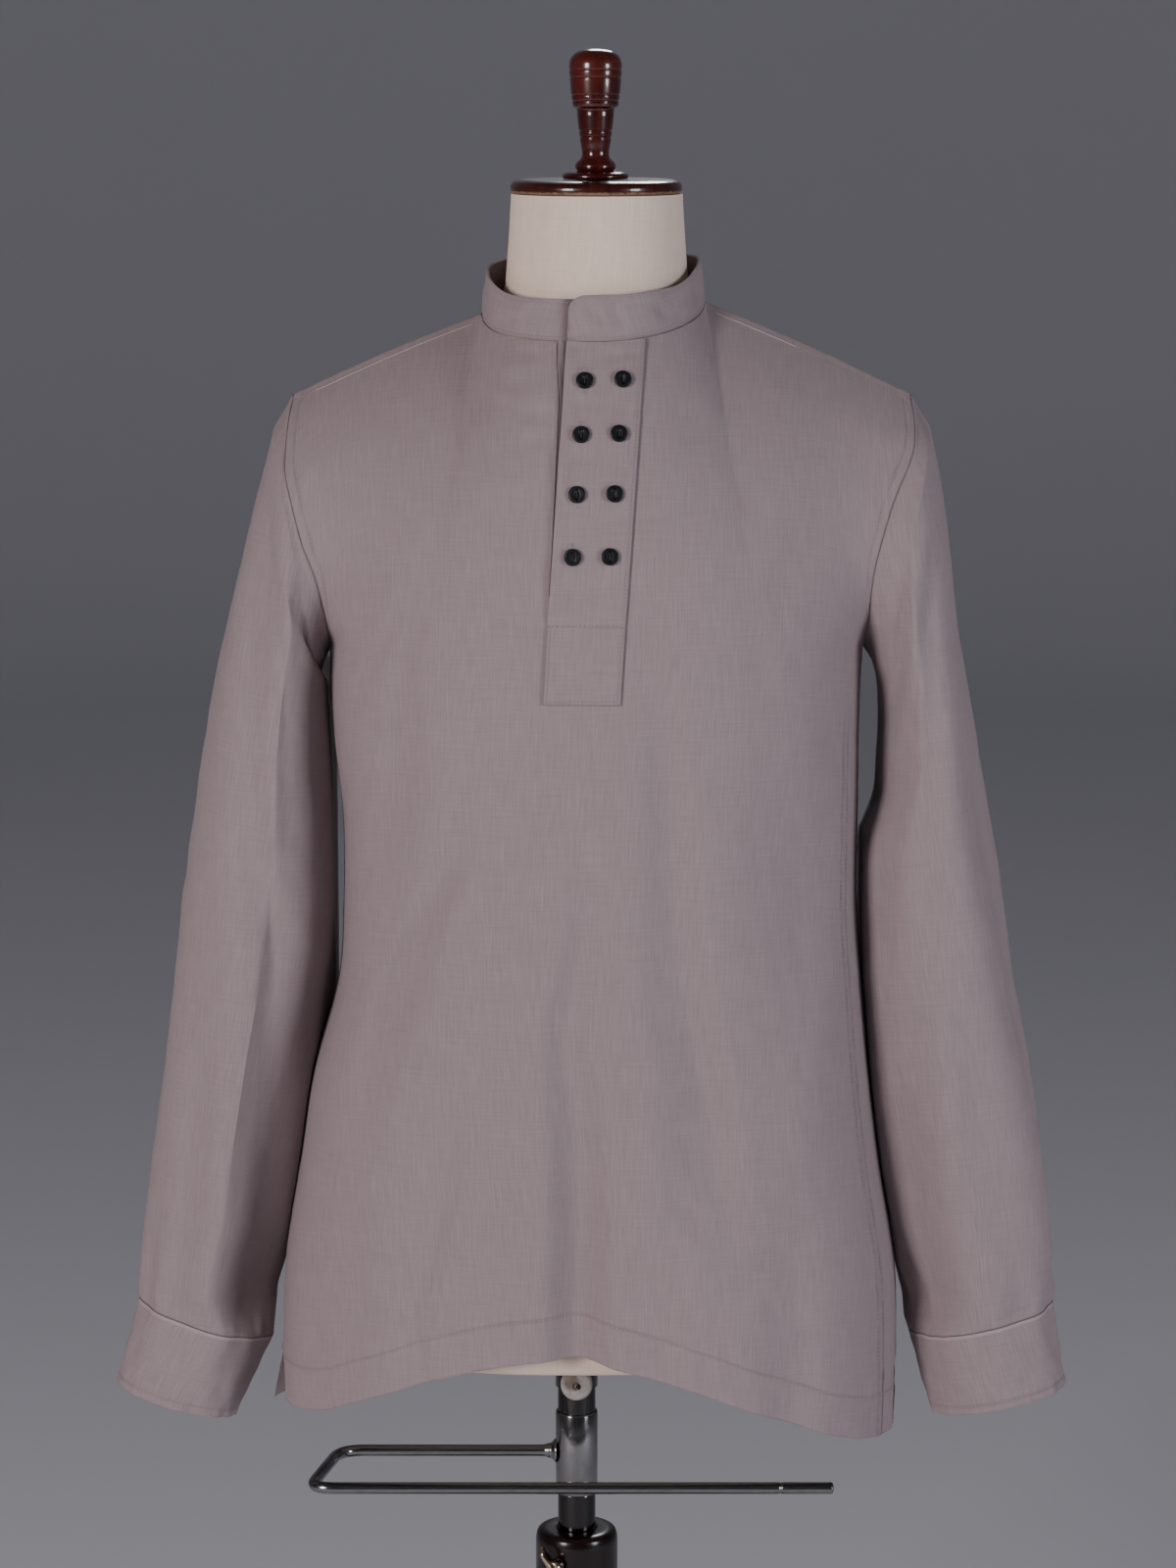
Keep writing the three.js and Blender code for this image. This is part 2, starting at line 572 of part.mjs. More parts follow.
// Angles of the neck columns that the panels have too, from the upper end round to the lower end
const middleAngle = Math.asin((PLACKET.x - NECK.x) / NECK.halfWidth);
const edgeAngle = (sign) => Math.asin((PLACKET.x + sign * PLACKET.half - NECK.x) / NECK.halfWidth);
const [overEnd, rightEdge] = [edgeAngle(-1), edgeAngle(1)];
const collarAngles = COLLAR.endShares.map((t) => lerp(overEnd, middleAngle, t));
for (let k = 0; k < NECK_COLS; k += 1) collarAngles.push(lerp(rightEdge, Math.PI / 2, k / NECK_COLS));
for (let k = NECK_COLS; k > 0; k -= 1) {
  collarAngles.push(Math.PI - lerp(rightEdge, Math.PI / 2, k / NECK_COLS));
}
collarAngles.push(Math.PI - rightEdge, Math.PI - middleAngle);
for (let k = 0; k < NECK_COLS; k += 1) {
  collarAngles.push(Math.PI - lerp(overEnd, -Math.PI / 2, k / NECK_COLS));
}
for (let k = NECK_COLS; k >= 0; k -= 1) {
  collarAngles.push(2 * Math.PI + lerp(overEnd, -Math.PI / 2, k / NECK_COLS));
}
collarAngles.push(2 * Math.PI + middleAngle);
const collarGrid = [[], [], [], []];
for (const angle of collarAngles) {
  const outwards = vec(Math.sin(angle), -Math.cos(angle), 0);
  const lapped = 1 - smooth((angle - middleAngle - 0.1) / 0.5);
  const foot = necklinePoint(angle).addScaledVector(outwards, lapped * (DOUBLED + SEAM));
  foot.z += SEAM;
  const height = lerp(COLLAR.front, COLLAR.back, (1 - Math.cos(angle)) / 2);
  const fromEnd = (angle - overEnd) * NECK.halfDepth;
  const corner = Math.max(0, COLLAR.round - fromEnd);
  const top = height - COLLAR.round + Math.sqrt(COLLAR.round ** 2 - corner ** 2);
  collarGrid.forEach((row, i) => {
    const up = 1 - i / (collarGrid.length - 1);
    row.push(foot.clone().addScaledVector(outwards, -COLLAR.lean * up).add(vec(0, 0, top * up)));
  });
}
const collarNormals = gridNormals(collarGrid);
add('collar', wallGeometry(collarGrid, shifted(collarGrid, collarNormals, -DOUBLED)), 'cloth');

// Buttons: a raised rim round a dished middle

const buttonOutline = [[0, 0], [0.85, 0], [1, 0.4], [0.9, 1], [0.66, 0.6], [0, 0.6]];
BUTTON.heights.forEach((z, row) => {
  BUTTON.across.forEach((offset, column) => {
    const side = offset < 0 ? 'left' : 'right';
    const k = Math.abs(offset) / PLACKET.half;
    const r = rowAt(z);
    const [above, below] = [Math.floor(r), Math.floor(r) + 1].map((row) => panelPoint('front', side, 0, row)
      .lerp(panelPoint('front', side, 1, row), k));
    const place = above.clone().lerp(below, r - Math.floor(r));
    const across = panelPoint('front', 'right', 1, r).sub(panelPoint('front', 'left', 1, r));
    const normal = below.clone().sub(above).cross(across).normalize();
    const outline = buttonOutline.map(([radius, height]) => [radius * BUTTON.radius, height * BUTTON.thick]);
    const mesh = add(`button_${row + 1}_${column === 0 ? 'left' : 'right'}`, lathe(outline, 12), 'button');
    mesh.quaternion.setFromUnitVectors(vec(0, 0, 1), normal);
    mesh.position.copy(place.addScaledVector(normal, SEAM + DOUBLED + BUTTON_LIFT));
  });
});

// Form: the plain form of the body drawn in under the cloth, closed by arm plates, neck and underside

function ringsGeometry(rings, capTop, capBottom) {
  const positions = [];
  const push = (...points) => points.forEach((p) => positions.push(p.x, p.y, p.z));
  for (let r = 0; r < rings.length - 1; r += 1) {
    const width = rings[r].length;
    for (let c = 0; c < width; c += 1) {
      const [a, b] = [rings[r][c], rings[r + 1][c]];
      const [d, e] = [rings[r][(c + 1) % width], rings[r + 1][(c + 1) % width]];
      push(a, b, e, a, e, d);
    }
  }
  const fan = (ring, centre, flip) => ring.forEach((p, c) => {
    const next = ring[(c + 1) % ring.length];
    if (flip) push(centre, p, next);
    else push(centre, next, p);
  });
  if (capTop) fan(rings[0], capTop, true);
  if (capBottom) fan(rings[rings.length - 1], capBottom, false);
  return positions;
}

// Joins triangles into one closed mesh and drops those that have shrunk to a line
function weld(positions) {
  const soup = new THREE.BufferGeometry();
  soup.setAttribute('position', new THREE.Float32BufferAttribute(positions, 3));
  const merged = mergeVertices(soup, 1e-3);
  const old = merged.index.array;
  const index = [];
  for (let i = 0; i < old.length; i += 3) {
    const [a, b, c] = [old[i], old[i + 1], old[i + 2]];
    if (a !== b && b !== c && c !== a) index.push(a, b, c);
  }
  merged.setIndex(index);
  return merged;
}

const formRows = TOP_ROWS + FORM.rows + 1;
const formHeight = (k, r) => lerp(chestHeight(k), FORM.bottom, (r - TOP_ROWS) / FORM.rows);
const plainForm = (face, side, k, r) => formPoint(face, side, k, rowShare(r), formHeight(k, r));
const formFront = bodyGrid('front', formRows, plainForm);
const formBack = bodyGrid('back', formRows, plainForm);
const formNormals = [gridNormals(formFront), gridNormals(formBack)];
shareNormals(...formNormals);
const drawIn = (grid, normals) => grid.map((row, r) => row.map((p, c) => {
  const sideways = normals[r][c].x ** 2;
  const inset = lerp(read(FORM_INSET, 'z', p.z, 'face'), read(FORM_INSET, 'z', p.z, 'side'), sideways);
  return p.clone().addScaledVector(normals[r][c], -CLOTH - inset);
}));
const [insideFront, insideBack] = [drawIn(formFront, formNormals[0]), drawIn(formBack, formNormals[1])];
const plate = (a, b, r, sign) => {
  const bulge = FORM.plate * Math.sin(Math.PI * Math.min(1, rowShare(r)));
  return a.clone().lerp(b, 0.5).add(vec(sign * bulge, 0, 0));
};
const torso = insideFront.map((row, r) => {
  const other = insideBack[r];
  const last = row.length - 1;
  return [...row, plate(row[last], other[0], r, 1), ...other, plate(other[last], row[0], r, -1)];
});
const lowest = torso[torso.length - 1];
const underside = lowest.map((p) => vec(p.x * 0.95, p.y * 0.93, FORM.bottom - 5));
const neckSpan = 1 + NECK_COLS;
const middle = insideFront[0].slice(HALF_COLS - neckSpan, HALF_COLS + neckSpan);
const nape = insideBack[0].slice(HALF_COLS - neckSpan, HALF_COLS + neckSpan);
const neckLoop = [...middle, ...nape];
const neckRing = (radius, z) => neckLoop.map((p) => {
  const towards = vec(p.x - FORM.neckX, p.y - FORM.neckY, 0).normalize();
  return vec(FORM.neckX + radius * towards.x, FORM.neckY + radius * towards.y, z);
});
const neck = [...FORM.neckRings.map(([radius, z]) => neckRing(radius, z)), neckLoop];
const formSkin = weld([
  ...ringsGeometry(neck, vec(FORM.neckX, FORM.neckY, FORM.neckTop), null),
  ...ringsGeometry([...torso, underside], null, vec(0, 0, FORM.bottom - 5)),
]);

function cylinder(radius, low, high, segments = SEGMENTS) {
  return lathe([[0, low], [radius, low], [radius, high], [0, high]], segments);
}

const formBore = cylinder(SOCKET.outer + SEAM, FORM.bottom - 20, SOCKET.top + SEAM);
add('form_body', toGeometry(toSolid(formSkin).subtract(toSolid(formBore))), 'form');

// Neck cap and finial

const capZ = CAP.bottom;
const capOutline = [[0, 0], [0.96, 0], [1, 2], [1, 5.5], [0.97, 8], [0.9, 9.2], [0, 9.6]];
add('neck_cap', lathe(capOutline.map(([r, z]) => [r * CAP.radius, z])), 'wood', CAP.x, FORM.neckY, capZ);
const finialOutline = [
  [0, 0], [22.3, 0], [22.3, 2.5], [20, 3.8], [12, 4.4], [13.3, 7], [12, 10.2], [9.3, 13.6], [9.3, 17],
  [11.3, 32.5], [12.9, 46.4], [15, 47.8], [16.5, 56.4], [17.7, 73], [16.4, 80], [10, 84.2], [0, 85.4],
];
add('finial', lathe(finialOutline, 20), 'wood', CAP.x - 0.5, FORM.neckY, capZ + 9.9);

// Socket collar, its knob, and the pole

const turned = (geometry, angle) => geometry.rotateX(Math.PI / 2).rotateZ(angle);
const tube = ({ outer, inner, bottom, top }) => lathe(
  [[inner, bottom], [outer, bottom], [outer, top], [inner, top], [inner, bottom]]);
const knobHole = turned(cylinder(KNOB.shaft + SEAM, 5, 30, 12), 0).translate(0, 0, KNOB.z);
add('socket_collar', toGeometry(toSolid(tube(SOCKET)).subtract(toSolid(knobHole))), 'metal');
const knobOutline = [
  [0, SOCKET.inner], [KNOB.shaft, SOCKET.inner],
  [KNOB.shaft, SOCKET.outer + 0.6], [KNOB.radius, SOCKET.outer + 0.6],
  [KNOB.radius, SOCKET.outer + KNOB.length], [KNOB.radius - 1.2, SOCKET.outer + KNOB.length + 1.2],
  [0, SOCKET.outer + KNOB.length + 1.2],
];
add('socket_knob', turned(lathe(knobOutline, 16), 0), 'knob', 0, 0, KNOB.z);
add('pole', cylinder(POLE.radius, POLE.bottom, POLE.top), 'metal');

// Trouser bar: a sleeve on the pole with a bent rod welded to it
// The rod's path runs left from the sleeve, round two bends and back to the right in front of the pole
const rodCorners = [[-BAR.inner - 0.5, 0], [ROD.back, 0], [ROD.front, -ROD.reach], [ROD.end, -ROD.reach]]
  .map(([x, y]) => vec(x, y, BAR.z));
const rodPath = new THREE.CurvePath();
let rodFrom = rodCorners[0];
for (let i = 1; i < rodCorners.length - 1; i += 1) {
  const [before, corner, after] = rodCorners.slice(i - 1, i + 2);
  const into = corner.clone().addScaledVector(before.clone().sub(corner).normalize(), ROD.bend);
  const outOf = corner.clone().addScaledVector(after.clone().sub(corner).normalize(), ROD.bend);
  rodPath.add(new THREE.LineCurve3(rodFrom, into));
  rodPath.add(new THREE.QuadraticBezierCurve3(into, corner, outOf));
  rodFrom = outOf;
}
rodPath.add(new THREE.LineCurve3(rodFrom, rodCorners[3]));
const rodSection = new THREE.Shape().absarc(0, 0, ROD.radius, 0, 2 * Math.PI);
const rodSteps = { steps: 64, curveSegments: 4, extrudePath: rodPath, bevelEnabled: false };
const rod = new THREE.ExtrudeGeometry(rodSection, rodSteps);
add('trouser_bar', toGeometry(toSolid(tube(BAR)).add(toSolid(rod))), 'metal');

// Column with its thumb screw, and the base

const columnOutline = [
  [0, COLUMN.bottom], [COLUMN.radius, COLUMN.bottom], [COLUMN.radius, COLUMN.top - COLUMN.round],
  [COLUMN.radius - 1.8, COLUMN.top - 1.8], [COLUMN.radius - COLUMN.round, COLUMN.top],
  [COLUMN.bore, COLUMN.top], [COLUMN.bore, COLUMN.floor], [0, COLUMN.floor],
];
const screwHole = turned(cylinder(SCREW.shaft + SEAM, 5, 60, 12), SCREW.angle).translate(0, 0, SCREW.z);
add('column', toGeometry(toSolid(lathe(columnOutline)).subtract(toSolid(screwHole))), 'wood');
const shaftOutline = [
  [0, COLUMN.bore], [SCREW.shaft, COLUMN.bore], [SCREW.shaft, SCREW.head], [SCREW.hub, SCREW.head],
  [SCREW.hub - 1, SCREW.head + 9], [0, SCREW.head + 9],
];
const wing = new THREE.BoxGeometry(3, SCREW.wing, 9).translate(0, 0, SCREW.head + 7).rotateZ(SCREW.turn);
const screwSolid = toSolid(lathe(shaftOutline, 12)).add(toSolid(wing));
add('thumb_screw', turned(toGeometry(screwSolid), SCREW.angle), 'metal', 0, 0, SCREW.z);
const baseOutline = [
  [0, 0], [BASE.radius - 3, 0], [BASE.radius, 3], [BASE.radius, BASE.height - BASE.round - 4],
  [BASE.radius - 3, BASE.height - 8], [BASE.radius - BASE.round, BASE.height - 5], [60, BASE.height - 2.5],
  [46, BASE.height], [0, BASE.height],
];
add('base', lathe(baseOutline, 32), 'wood');

export default group;
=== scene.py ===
"""A short kurta in slubby linen, worn by a limbless dress form on its stand.

Lengths are worked out in millimetres and become metres when a mesh is made.
The chest faces -Y, and left and right are those of someone who looks at it.
"""
import math

import bmesh
import bpy
import numpy as np
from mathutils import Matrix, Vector


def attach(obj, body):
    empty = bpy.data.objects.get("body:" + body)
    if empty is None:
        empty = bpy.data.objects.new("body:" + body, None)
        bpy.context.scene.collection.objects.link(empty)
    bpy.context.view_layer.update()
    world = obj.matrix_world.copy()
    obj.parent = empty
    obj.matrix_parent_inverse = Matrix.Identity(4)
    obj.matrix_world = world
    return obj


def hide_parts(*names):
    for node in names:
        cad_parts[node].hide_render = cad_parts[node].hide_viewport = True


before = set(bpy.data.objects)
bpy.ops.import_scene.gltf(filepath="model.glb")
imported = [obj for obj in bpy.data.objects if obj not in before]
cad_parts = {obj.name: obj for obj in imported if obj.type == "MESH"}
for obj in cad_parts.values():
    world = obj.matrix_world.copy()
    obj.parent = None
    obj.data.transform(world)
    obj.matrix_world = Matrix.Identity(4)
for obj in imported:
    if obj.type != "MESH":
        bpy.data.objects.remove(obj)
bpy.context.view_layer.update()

MM = 0.001


# Camera

PHOTO_LONG_SIDE = 1600
FOCAL_PIXELS = 4300
EYE = (0.008, -2.85, 1.5025)
TILT = 10

lens = bpy.data.cameras.new("camera")
lens.sensor_width = 36
lens.lens = FOCAL_PIXELS / PHOTO_LONG_SIDE * lens.sensor_width
camera = bpy.data.objects.new("camera", lens)
camera.location = EYE
camera.rotation_euler = (math.radians(90 - TILT), 0, 0)
bpy.context.scene.collection.objects.link(camera)
bpy.context.scene.camera = camera


# Numbers of the part, as its solids have them

SQUARE = 2.3
SIDE_Y = 4
NECK_COLS, OUTER_COLS = 5, 8
NECK_END = 1 + NECK_COLS
HALF_COLS = NECK_END + OUTER_COLS
NECK = {"x": 11.5, "y": -7, "half_width": 75, "half_depth": 72, "front": 1308, "back": 1331}
PLACKET = {"half": 25.5, "x": 20, "slot": 0.828, "end": 1074, "cross": 1126}
CHEST = {"middle": 1110, "side": 1096}
HEM_LEVEL = 600
SLIT_TOP = 602
SEAM, PANEL_DEPTH, DOUBLED = 0.35, 1.2, 1.7
SIDES = {
    "left": {"sign": -1, "neck_z": 1322, "tip": (-190, -4, 1268), "climb": 1.75},
    "right": {"sign": 1, "neck_z": 1330, "tip": (225, -4, 1268), "climb": 1.0},
}


class Table:
    """Rows of named numbers, read between the rows on a smooth curve."""

    def __init__(self, names, rows):
        self.names = names.split()
        rows = np.array(rows, float)
        self.rows = rows[np.argsort(rows[:, 0])]

    def __call__(self, column, at):
        key, value = self.rows[:, 0], self.rows[:, self.names.index(column)]
        at = np.clip(at, key[0], key[-1])
        i = np.clip(np.searchsorted(key, at, side="right") - 1, 0, len(key) - 2)
        before, after = np.maximum(i - 1, 0), np.minimum(i + 2, len(key) - 1)
        span = key[i + 1] - key[i]
        start = span * (value[i + 1] - value[before]) / (key[i + 1] - key[before])
        stop = span * (value[after] - value[i]) / (key[after] - key[i])
        t = (at - key[i]) / span
        return (value[i] * (2 * t**3 - 3 * t**2 + 1) + start * (t**3 - 2 * t**2 + t)
                + value[i + 1] * (3 * t**2 - 2 * t**3) + stop * (t**3 - t**2))


SECTIONS = Table("z left right front back mid", [
    (1110, -167, 196, -122, 112, 6), (1076, -168, 194, -123, 111, 4), (1035, -166, 193, -124, 109, 2),
    (981, -160, 193, -124, 106, -1), (920, -160, 193, -124, 105, -3), (865, -164, 197, -124, 106, -4),
    (798, -182, 203, -124, 108, -3), (740, -191, 210, -124, 110, -2), (663, -203, 222, -125, 112, -1),
    (600, -206, 224, -126, 113, 0), (530, -207, 223, -127, 114, 0),
])
ARMHOLES = {
    "left": Table("z x front back", [
        (1268, -190, -4, -4), (1250, -193, -24, 18), (1221, -194, -47, 39), (1202, -190, -56, 49),
        (1172, -182, -61, 56), (1150, -174, -57, 54), (1128, -169, -46, 46), (1110, -167, -28, 32),
        (1096, -167, 4, 4),
    ]),
    "right": Table("z x front back", [
        (1268, 225, -4, -4), (1250, 227, -24, 18), (1232, 225, -41, 34), (1202, 212, -56, 50),
        (1180, 205, -60, 55), (1155, 199, -57, 54), (1136, 197, -49, 48), (1116, 196, -33, 36),
        (1096, 196, 4, 4),
    ]),
}
HEMS = {
    "front": Table("x z", [
        (-206, 569), (-177, 575), (-151, 588), (-109, 606), (-55, 622), (-4, 627), (31, 620), (80, 604),
        (135, 580), (186, 558), (222, 547),
    ]),
    "back": Table("x z", [
        (-207, 558), (-150, 568), (-60, 588), (20, 590), (100, 572), (180, 548), (224, 540),
    ]),
}

# How far the form lies inside the cloth, at the sides and at the front and back
FORM_INSET = Table("z side face", [
    (1270, .45, .45), (1200, 1.2, 1.2), (1110, 3, 3), (1035, 8, 9), (920, 20, 20), (865, 22, 27),
    (798, 18, 30), (700, 20, 30), (612, 26, 24),
])

# Troughs of the panels, from the top down: where the deepest line runs, its depth, and how far the cloth
# slopes down to it from the left and from the right
TROUGH_NAMES = "z x depth left right"
TROUGHS = {
    "front": [Table(TROUGH_NAMES, rows) for rows in (
        [(1005, 8, 0, 10, 9), (940, 8, 5, 12, 11), (896, 2, 8, 15, 13), (852, -5, 11, 18, 15),
         (808, 0, 15, 21, 18), (764, 2, 18, 22, 19), (720, 3, 20, 23, 19), (590, 3, 21, 23, 19)],
        [(1100, 58, 0, 14, 10), (1047, 61, 4.5, 17, 12), (939, 69, 7.5, 25, 14), (852, 80, 12, 34, 15),
         (787, 93, 13, 42, 17), (730, 98, 7, 46, 20), (690, 100, 0, 50, 20)],
        [(1035, 146, 0, 38, 20), (1000, 150, 4.5, 43, 24), (950, 152, 7, 45, 25), (900, 152, 5.5, 45, 25),
         (830, 150, 0, 44, 25)],
        [(1128, 121, 0, 12, 7), (1096, 125, 2.4, 14, 8), (1060, 130, 0, 12, 8)],
        [(1062, 90, 0, 9, 6), (1030, 97, 1.8, 10, 7), (1000, 105, 0, 10, 7)],
        [(1136, -106, 0, 8, 8), (1107, -110, 5, 12, 9), (1043, -112, 9, 19, 11), (1007, -114, 9, 20, 12),
         (965, -129, 5.5, 16, 11), (930, -142, 0, 14, 10)],
        [(1146, -108, 0, 7, 8), (1122, -121, 5, 8, 9), (1084, -142, 5, 8, 8), (1052, -156, 0, 7, 7)],
        [(1012, -70, 0, 11, 8), (960, -85, 8, 15, 12), (900, -110, 12, 17, 13), (850, -126, 12, 17, 14),
         (800, -138, 8, 17, 13), (750, -146, 0, 16, 12)],
        [(862, -82, 0, 14, 8), (780, -83, 4, 15, 9), (718, -93, 7, 16, 9), (670, -105, 8.5, 15, 8),
         (640, -108, 7, 15, 6), (612, -100, 6, 13, 6), (585, -98, 5, 13, 6)],
        [(1122, 164, 0, 10, 7), (1060, 168, 2, 13, 8), (950, 172, 2.6, 15, 9), (880, 176, 0, 14, 9)],
        [(1146, 180, 0, 5, 5), (1134, 175, 1.6, 6, 5), (1118, 169, 0, 5, 5)],
        [(760, 146, 0, 24, 14), (680, 150, 4, 30, 16), (560, 152, 5.5, 32, 16)],
        [(800, -168, 0, 16, 10), (700, -176, 3, 18, 10), (590, -178, 4, 18, 10)],
        [(700, 62, 0, 14, 9), (650, 60, 2.6, 18, 10), (590, 58, 3.4, 18, 10)],
    )],
    "back": [Table(TROUGH_NAMES, rows) for rows in (
        [(1190, -16, 0, 12, 10), (1050, -30, 5, 22, 12), (900, -48, 8, 26, 13), (700, -60, 10, 34, 14),
         (560, -64, 11, 34, 14)],
        [(1130, 66, 0, 12, 12), (1000, 80, 6, 13, 24), (860, 94, 7, 14, 30), (720, 98, 3, 16, 30),
         (660, 98, 0, 16, 30)],
        [(920, 26, 0, 12, 16), (780, 24, 6, 12, 28), (560, 22, 9, 13, 36)],
        [(1160, -116, 0, 9, 8), (1080, -106, 4, 14, 9), (980, -96, 3, 14, 9), (930, -92, 0, 12, 9)],
        [(1164, 122, 0, 8, 9), (1080, 112, 4, 9, 14), (980, 106, 0, 9, 12)],
        [(880, 116, 0, 9, 16), (740, 126, 6, 10, 22), (560, 132, 7, 10, 24)],
        [(1030, -138, 0, 14, 9), (880, -146, 5, 20, 10), (720, -152, 2, 18, 10), (680, -154, 0, 18, 10)],
        [(760, -104, 0, 14, 8), (660, -112, 4.5, 18, 9), (560, -116, 6, 18, 9)],
        [(1050, 150, 0, 8, 12), (940, 158, 4, 9, 16), (840, 162, 0, 9, 14)],
        [(800, 182, 0, 8, 12), (680, 188, 3, 8, 16), (540, 190, 4, 8, 16)],
    )],
}

# Small creases: from one point to another, then width, depth and sideways bow
CREASES = {
    "front": [
        (-45, 1279, -14, 1287, 4, 1.7, 1), (-40, 1259, -16, 1263, 4, 1.6, 0),
        (-52, 1268, -18, 1262, 3.4, 1.1, -1), (-46, 1240, -17, 1247, 4, 1.0, 1),
        (-40, 1300, -20, 1298, 3, 1.2, 1), (60, 1270, 96, 1240, 9, .8, -3),
        (-140, 1180, -100, 1150, 9, 1.6, 3), (160, 1170, 130, 1140, 10, 1.6, -3),
        (40, 742, 84, 727, 5, .8, 2), (72, 716, 118, 706, 5, .7, -2),
        (-20, 1120, -50, 1098, 6, .7, 2), (184, 1112, 170, 1090, 5, 1.2, 1),
    ],
    "back": [(-70, 1230, -20, 1215, 10, .8, 0), (40, 1216, 100, 1232, 10, .8, 2)],
}
LIP = 0.28

# Between these rings the sleeves lie against the body, pushed towards it by so much
LEAN = {"left": (1.6, 12.2, 18), "right": (4.5, 12, 13)}

# The line that a sleeve hangs along, which its lengthwise yarns follow
SLEEVE_AXIS = {"left": {"x": -188, "z": 1166, "lean": 0.134}, "right": {"x": 220, "z": 1166, "lean": 0.12}}

# The oval that stands for a sleeve's section where its weave is measured round
SLEEVE_OVAL = {"across": 48, "deep": 60, "y": -2}

# How flat a sleeve is where it faces forward beside the body, from 0 to 1
FLATTENED = {"left": 1.0, "right": 0.45}
SLEEVE_NAMES = "at out_x out_z in_x in_z front back"
SLEEVES = {
    "left": Table(SLEEVE_NAMES, [
        (1, -204, 1246, -172, 1086, -64, 60), (2, -212, 1212, -176, 1072, -66, 62),
        (3, -222, 1174, -177, 1052, -66, 62), (4, -235, 1124, -175, 1026, -65, 61),
        (5, -247, 1070, -172, 992, -64, 60), (6, -257, 1016, -168, 956, -63, 59),
        (7, -266, 956, -167, 912, -62, 58), (8, -274, 894, -172, 864, -60, 55),
        (9, -283, 830, -184, 808, -58, 51), (10, -291, 768, -196, 748, -55, 47),
        (11, -298, 708, -206, 689, -51, 42), (12, -303, 661, -211, 641, -46, 36),
        (13, -304, 637, -214, 609, -42, 32),
    ]),
    "right": Table(SLEEVE_NAMES, [
        (1, 239, 1246, 202, 1086, -64, 60), (2, 247, 1208, 206, 1070, -66, 62),
        (3, 253, 1166, 208, 1048, -66, 62), (4, 259, 1112, 207, 1018, -65, 61),
        (5, 270, 1052, 205, 980, -64, 60), (6, 281, 992, 200, 940, -62, 58),
        (7, 293, 926, 200, 890, -60, 56), (8, 303, 862, 204, 838, -58, 53),
        (9, 316, 800, 209, 784, -56, 50), (10, 328, 738, 218, 724, -53, 46),
        (11, 333, 685, 227, 672, -50, 42), (12, 334, 649, 231, 633, -46, 37),
        (13, 333, 634, 234, 612, -43, 33),
    ]),
}
SLEEVE_GAP, SLEEVE_START, SLEEVE_END = 0.15, 1.6, 13
CUFFS = {
    "left": (-322, 578, -239, 554, -42, 20),
    "right": (342, 576, 249, 557, -44, 22),
}

# Troughs of the sleeves: first and last ring, degrees from the outer edge to the front, turn for each ring,
# width and depth; the creases after them are narrower
SLEEVE_FOLDS = {
    "left": [
        (1.5, 7.5, 48, 6, 15, 7), (6.5, 13, 92, 8, 15, 12), (2, 9, 215, -10, 18, 8), (7, 13, 282, 8, 16, 8),
    ],
    "right": [
        (2, 9, 70, 6, 15, 6), (9, 13, 128, 4, 13, 8), (5, 12, 32, -6, 15, 6), (2, 10, 240, 10, 18, 9),
    ],
}
SLEEVE_CREASES = {
    "left": [
        (3.5, 8, 96, 5, 11, 4), (9, 13.2, 60, 2, 9, 4), (10.4, 13.2, 118, 3, 7, 4.5),
        (.8, 3.5, 110, 14, 8, 3), (5, 9, 150, 4, 12, 4), (8, 12.5, 190, -4, 11, 4),
        (10, 13.2, 250, 3, 9, 4), (1, 5, 300, -6, 12, 4),
        (11.2, 13.3, 30, 0, 7, 3), (11.6, 13.3, 330, 0, 8, 3.5),
    ],
    "right": [
        (3, 7, 110, 6, 11, 4), (10.5, 13.2, 152, 2, 6, 5), (10.8, 13.2, 172, 0, 6, 4.5),
        (.8, 3.5, 100, 14, 8, 3), (6, 11, 84, -3, 12, 4), (8.4, 12, 205, 4, 11, 4),
        (10, 13.2, 262, 3, 9, 4), (1, 5, 310, -6, 12, 4),
        (11.2, 13.3, 62, 0, 7, 3), (11.6, 13.3, 18, 0, 8, 3),
    ],
}

# Creases of the collar, as above, along it from the lapped end and up from its seam
COLLAR_CREASES = [
    (9, 25, 24, 9, 3, .8, 1), (30, 26, 36, 5, 3, .7, -1), (44, 22, 70, 10, 3.6, .6, 2),
    (6, 5, 38, 3, 2.4, .6, 0), (78, 7, 108, 15, 4, .5, 1), (392, 6, 426, 15, 4, .6, 1),
    (376, 21, 418, 23, 3, .5, -1), (330, 10, 356, 20, 4, .5, 1),
]

# Soft creases across the over placket: height, slope, width, depth, and the columns that they run between
OVER_CREASES = [
    (1302, -4, 2.0, .6, -.9, .2), (1297, 3, 2.2, .7, -.5, .9), (1268, -2, 2.6, .6, -.7, .5),
    (1262, 2, 2.0, .5, .2, 1), (1257, 1, 1.8, .4, -.3, .4), (1234, 1.5, 2.6, .45, -.8, .2),
    (1228, -1, 2.2, .4, .1, .9), (1150, 2, 4, .3, -.9, .8),
]

# Thickness of each cloth wall, and how far the edge stitching runs from an edge
WALLS = {"plain": 0.75, "hem": 1.15, "cuff": 1.4, "collar": 1.5, "over": 1.55, "under": 0.9}
EDGE_STITCH, CUFF_STITCH = 2.2, 5.2
THREAD_LIFT = 0.12

COLLAR = {"front": 27, "back": 31, "lean": 3.5, "round": 12}
BUTTON = {"radius": 5.7, "thick": 2.5, "heights": (1283, 1249, 1211, 1171), "across": (-12.2, 11.8)}


def smooth(t):
    t = np.clip(t, 0, 1)
    return t * t * (3 - 2 * t)


def lerp(a, b, t):
    return a + (b - a) * t


def points(x, y, z):
    return np.stack(np.broadcast_arrays(x, y, z), -1).astype(float)


def unit(v):
    return v / np.maximum(np.linalg.norm(v, axis=-1, keepdims=True), 1e-9)


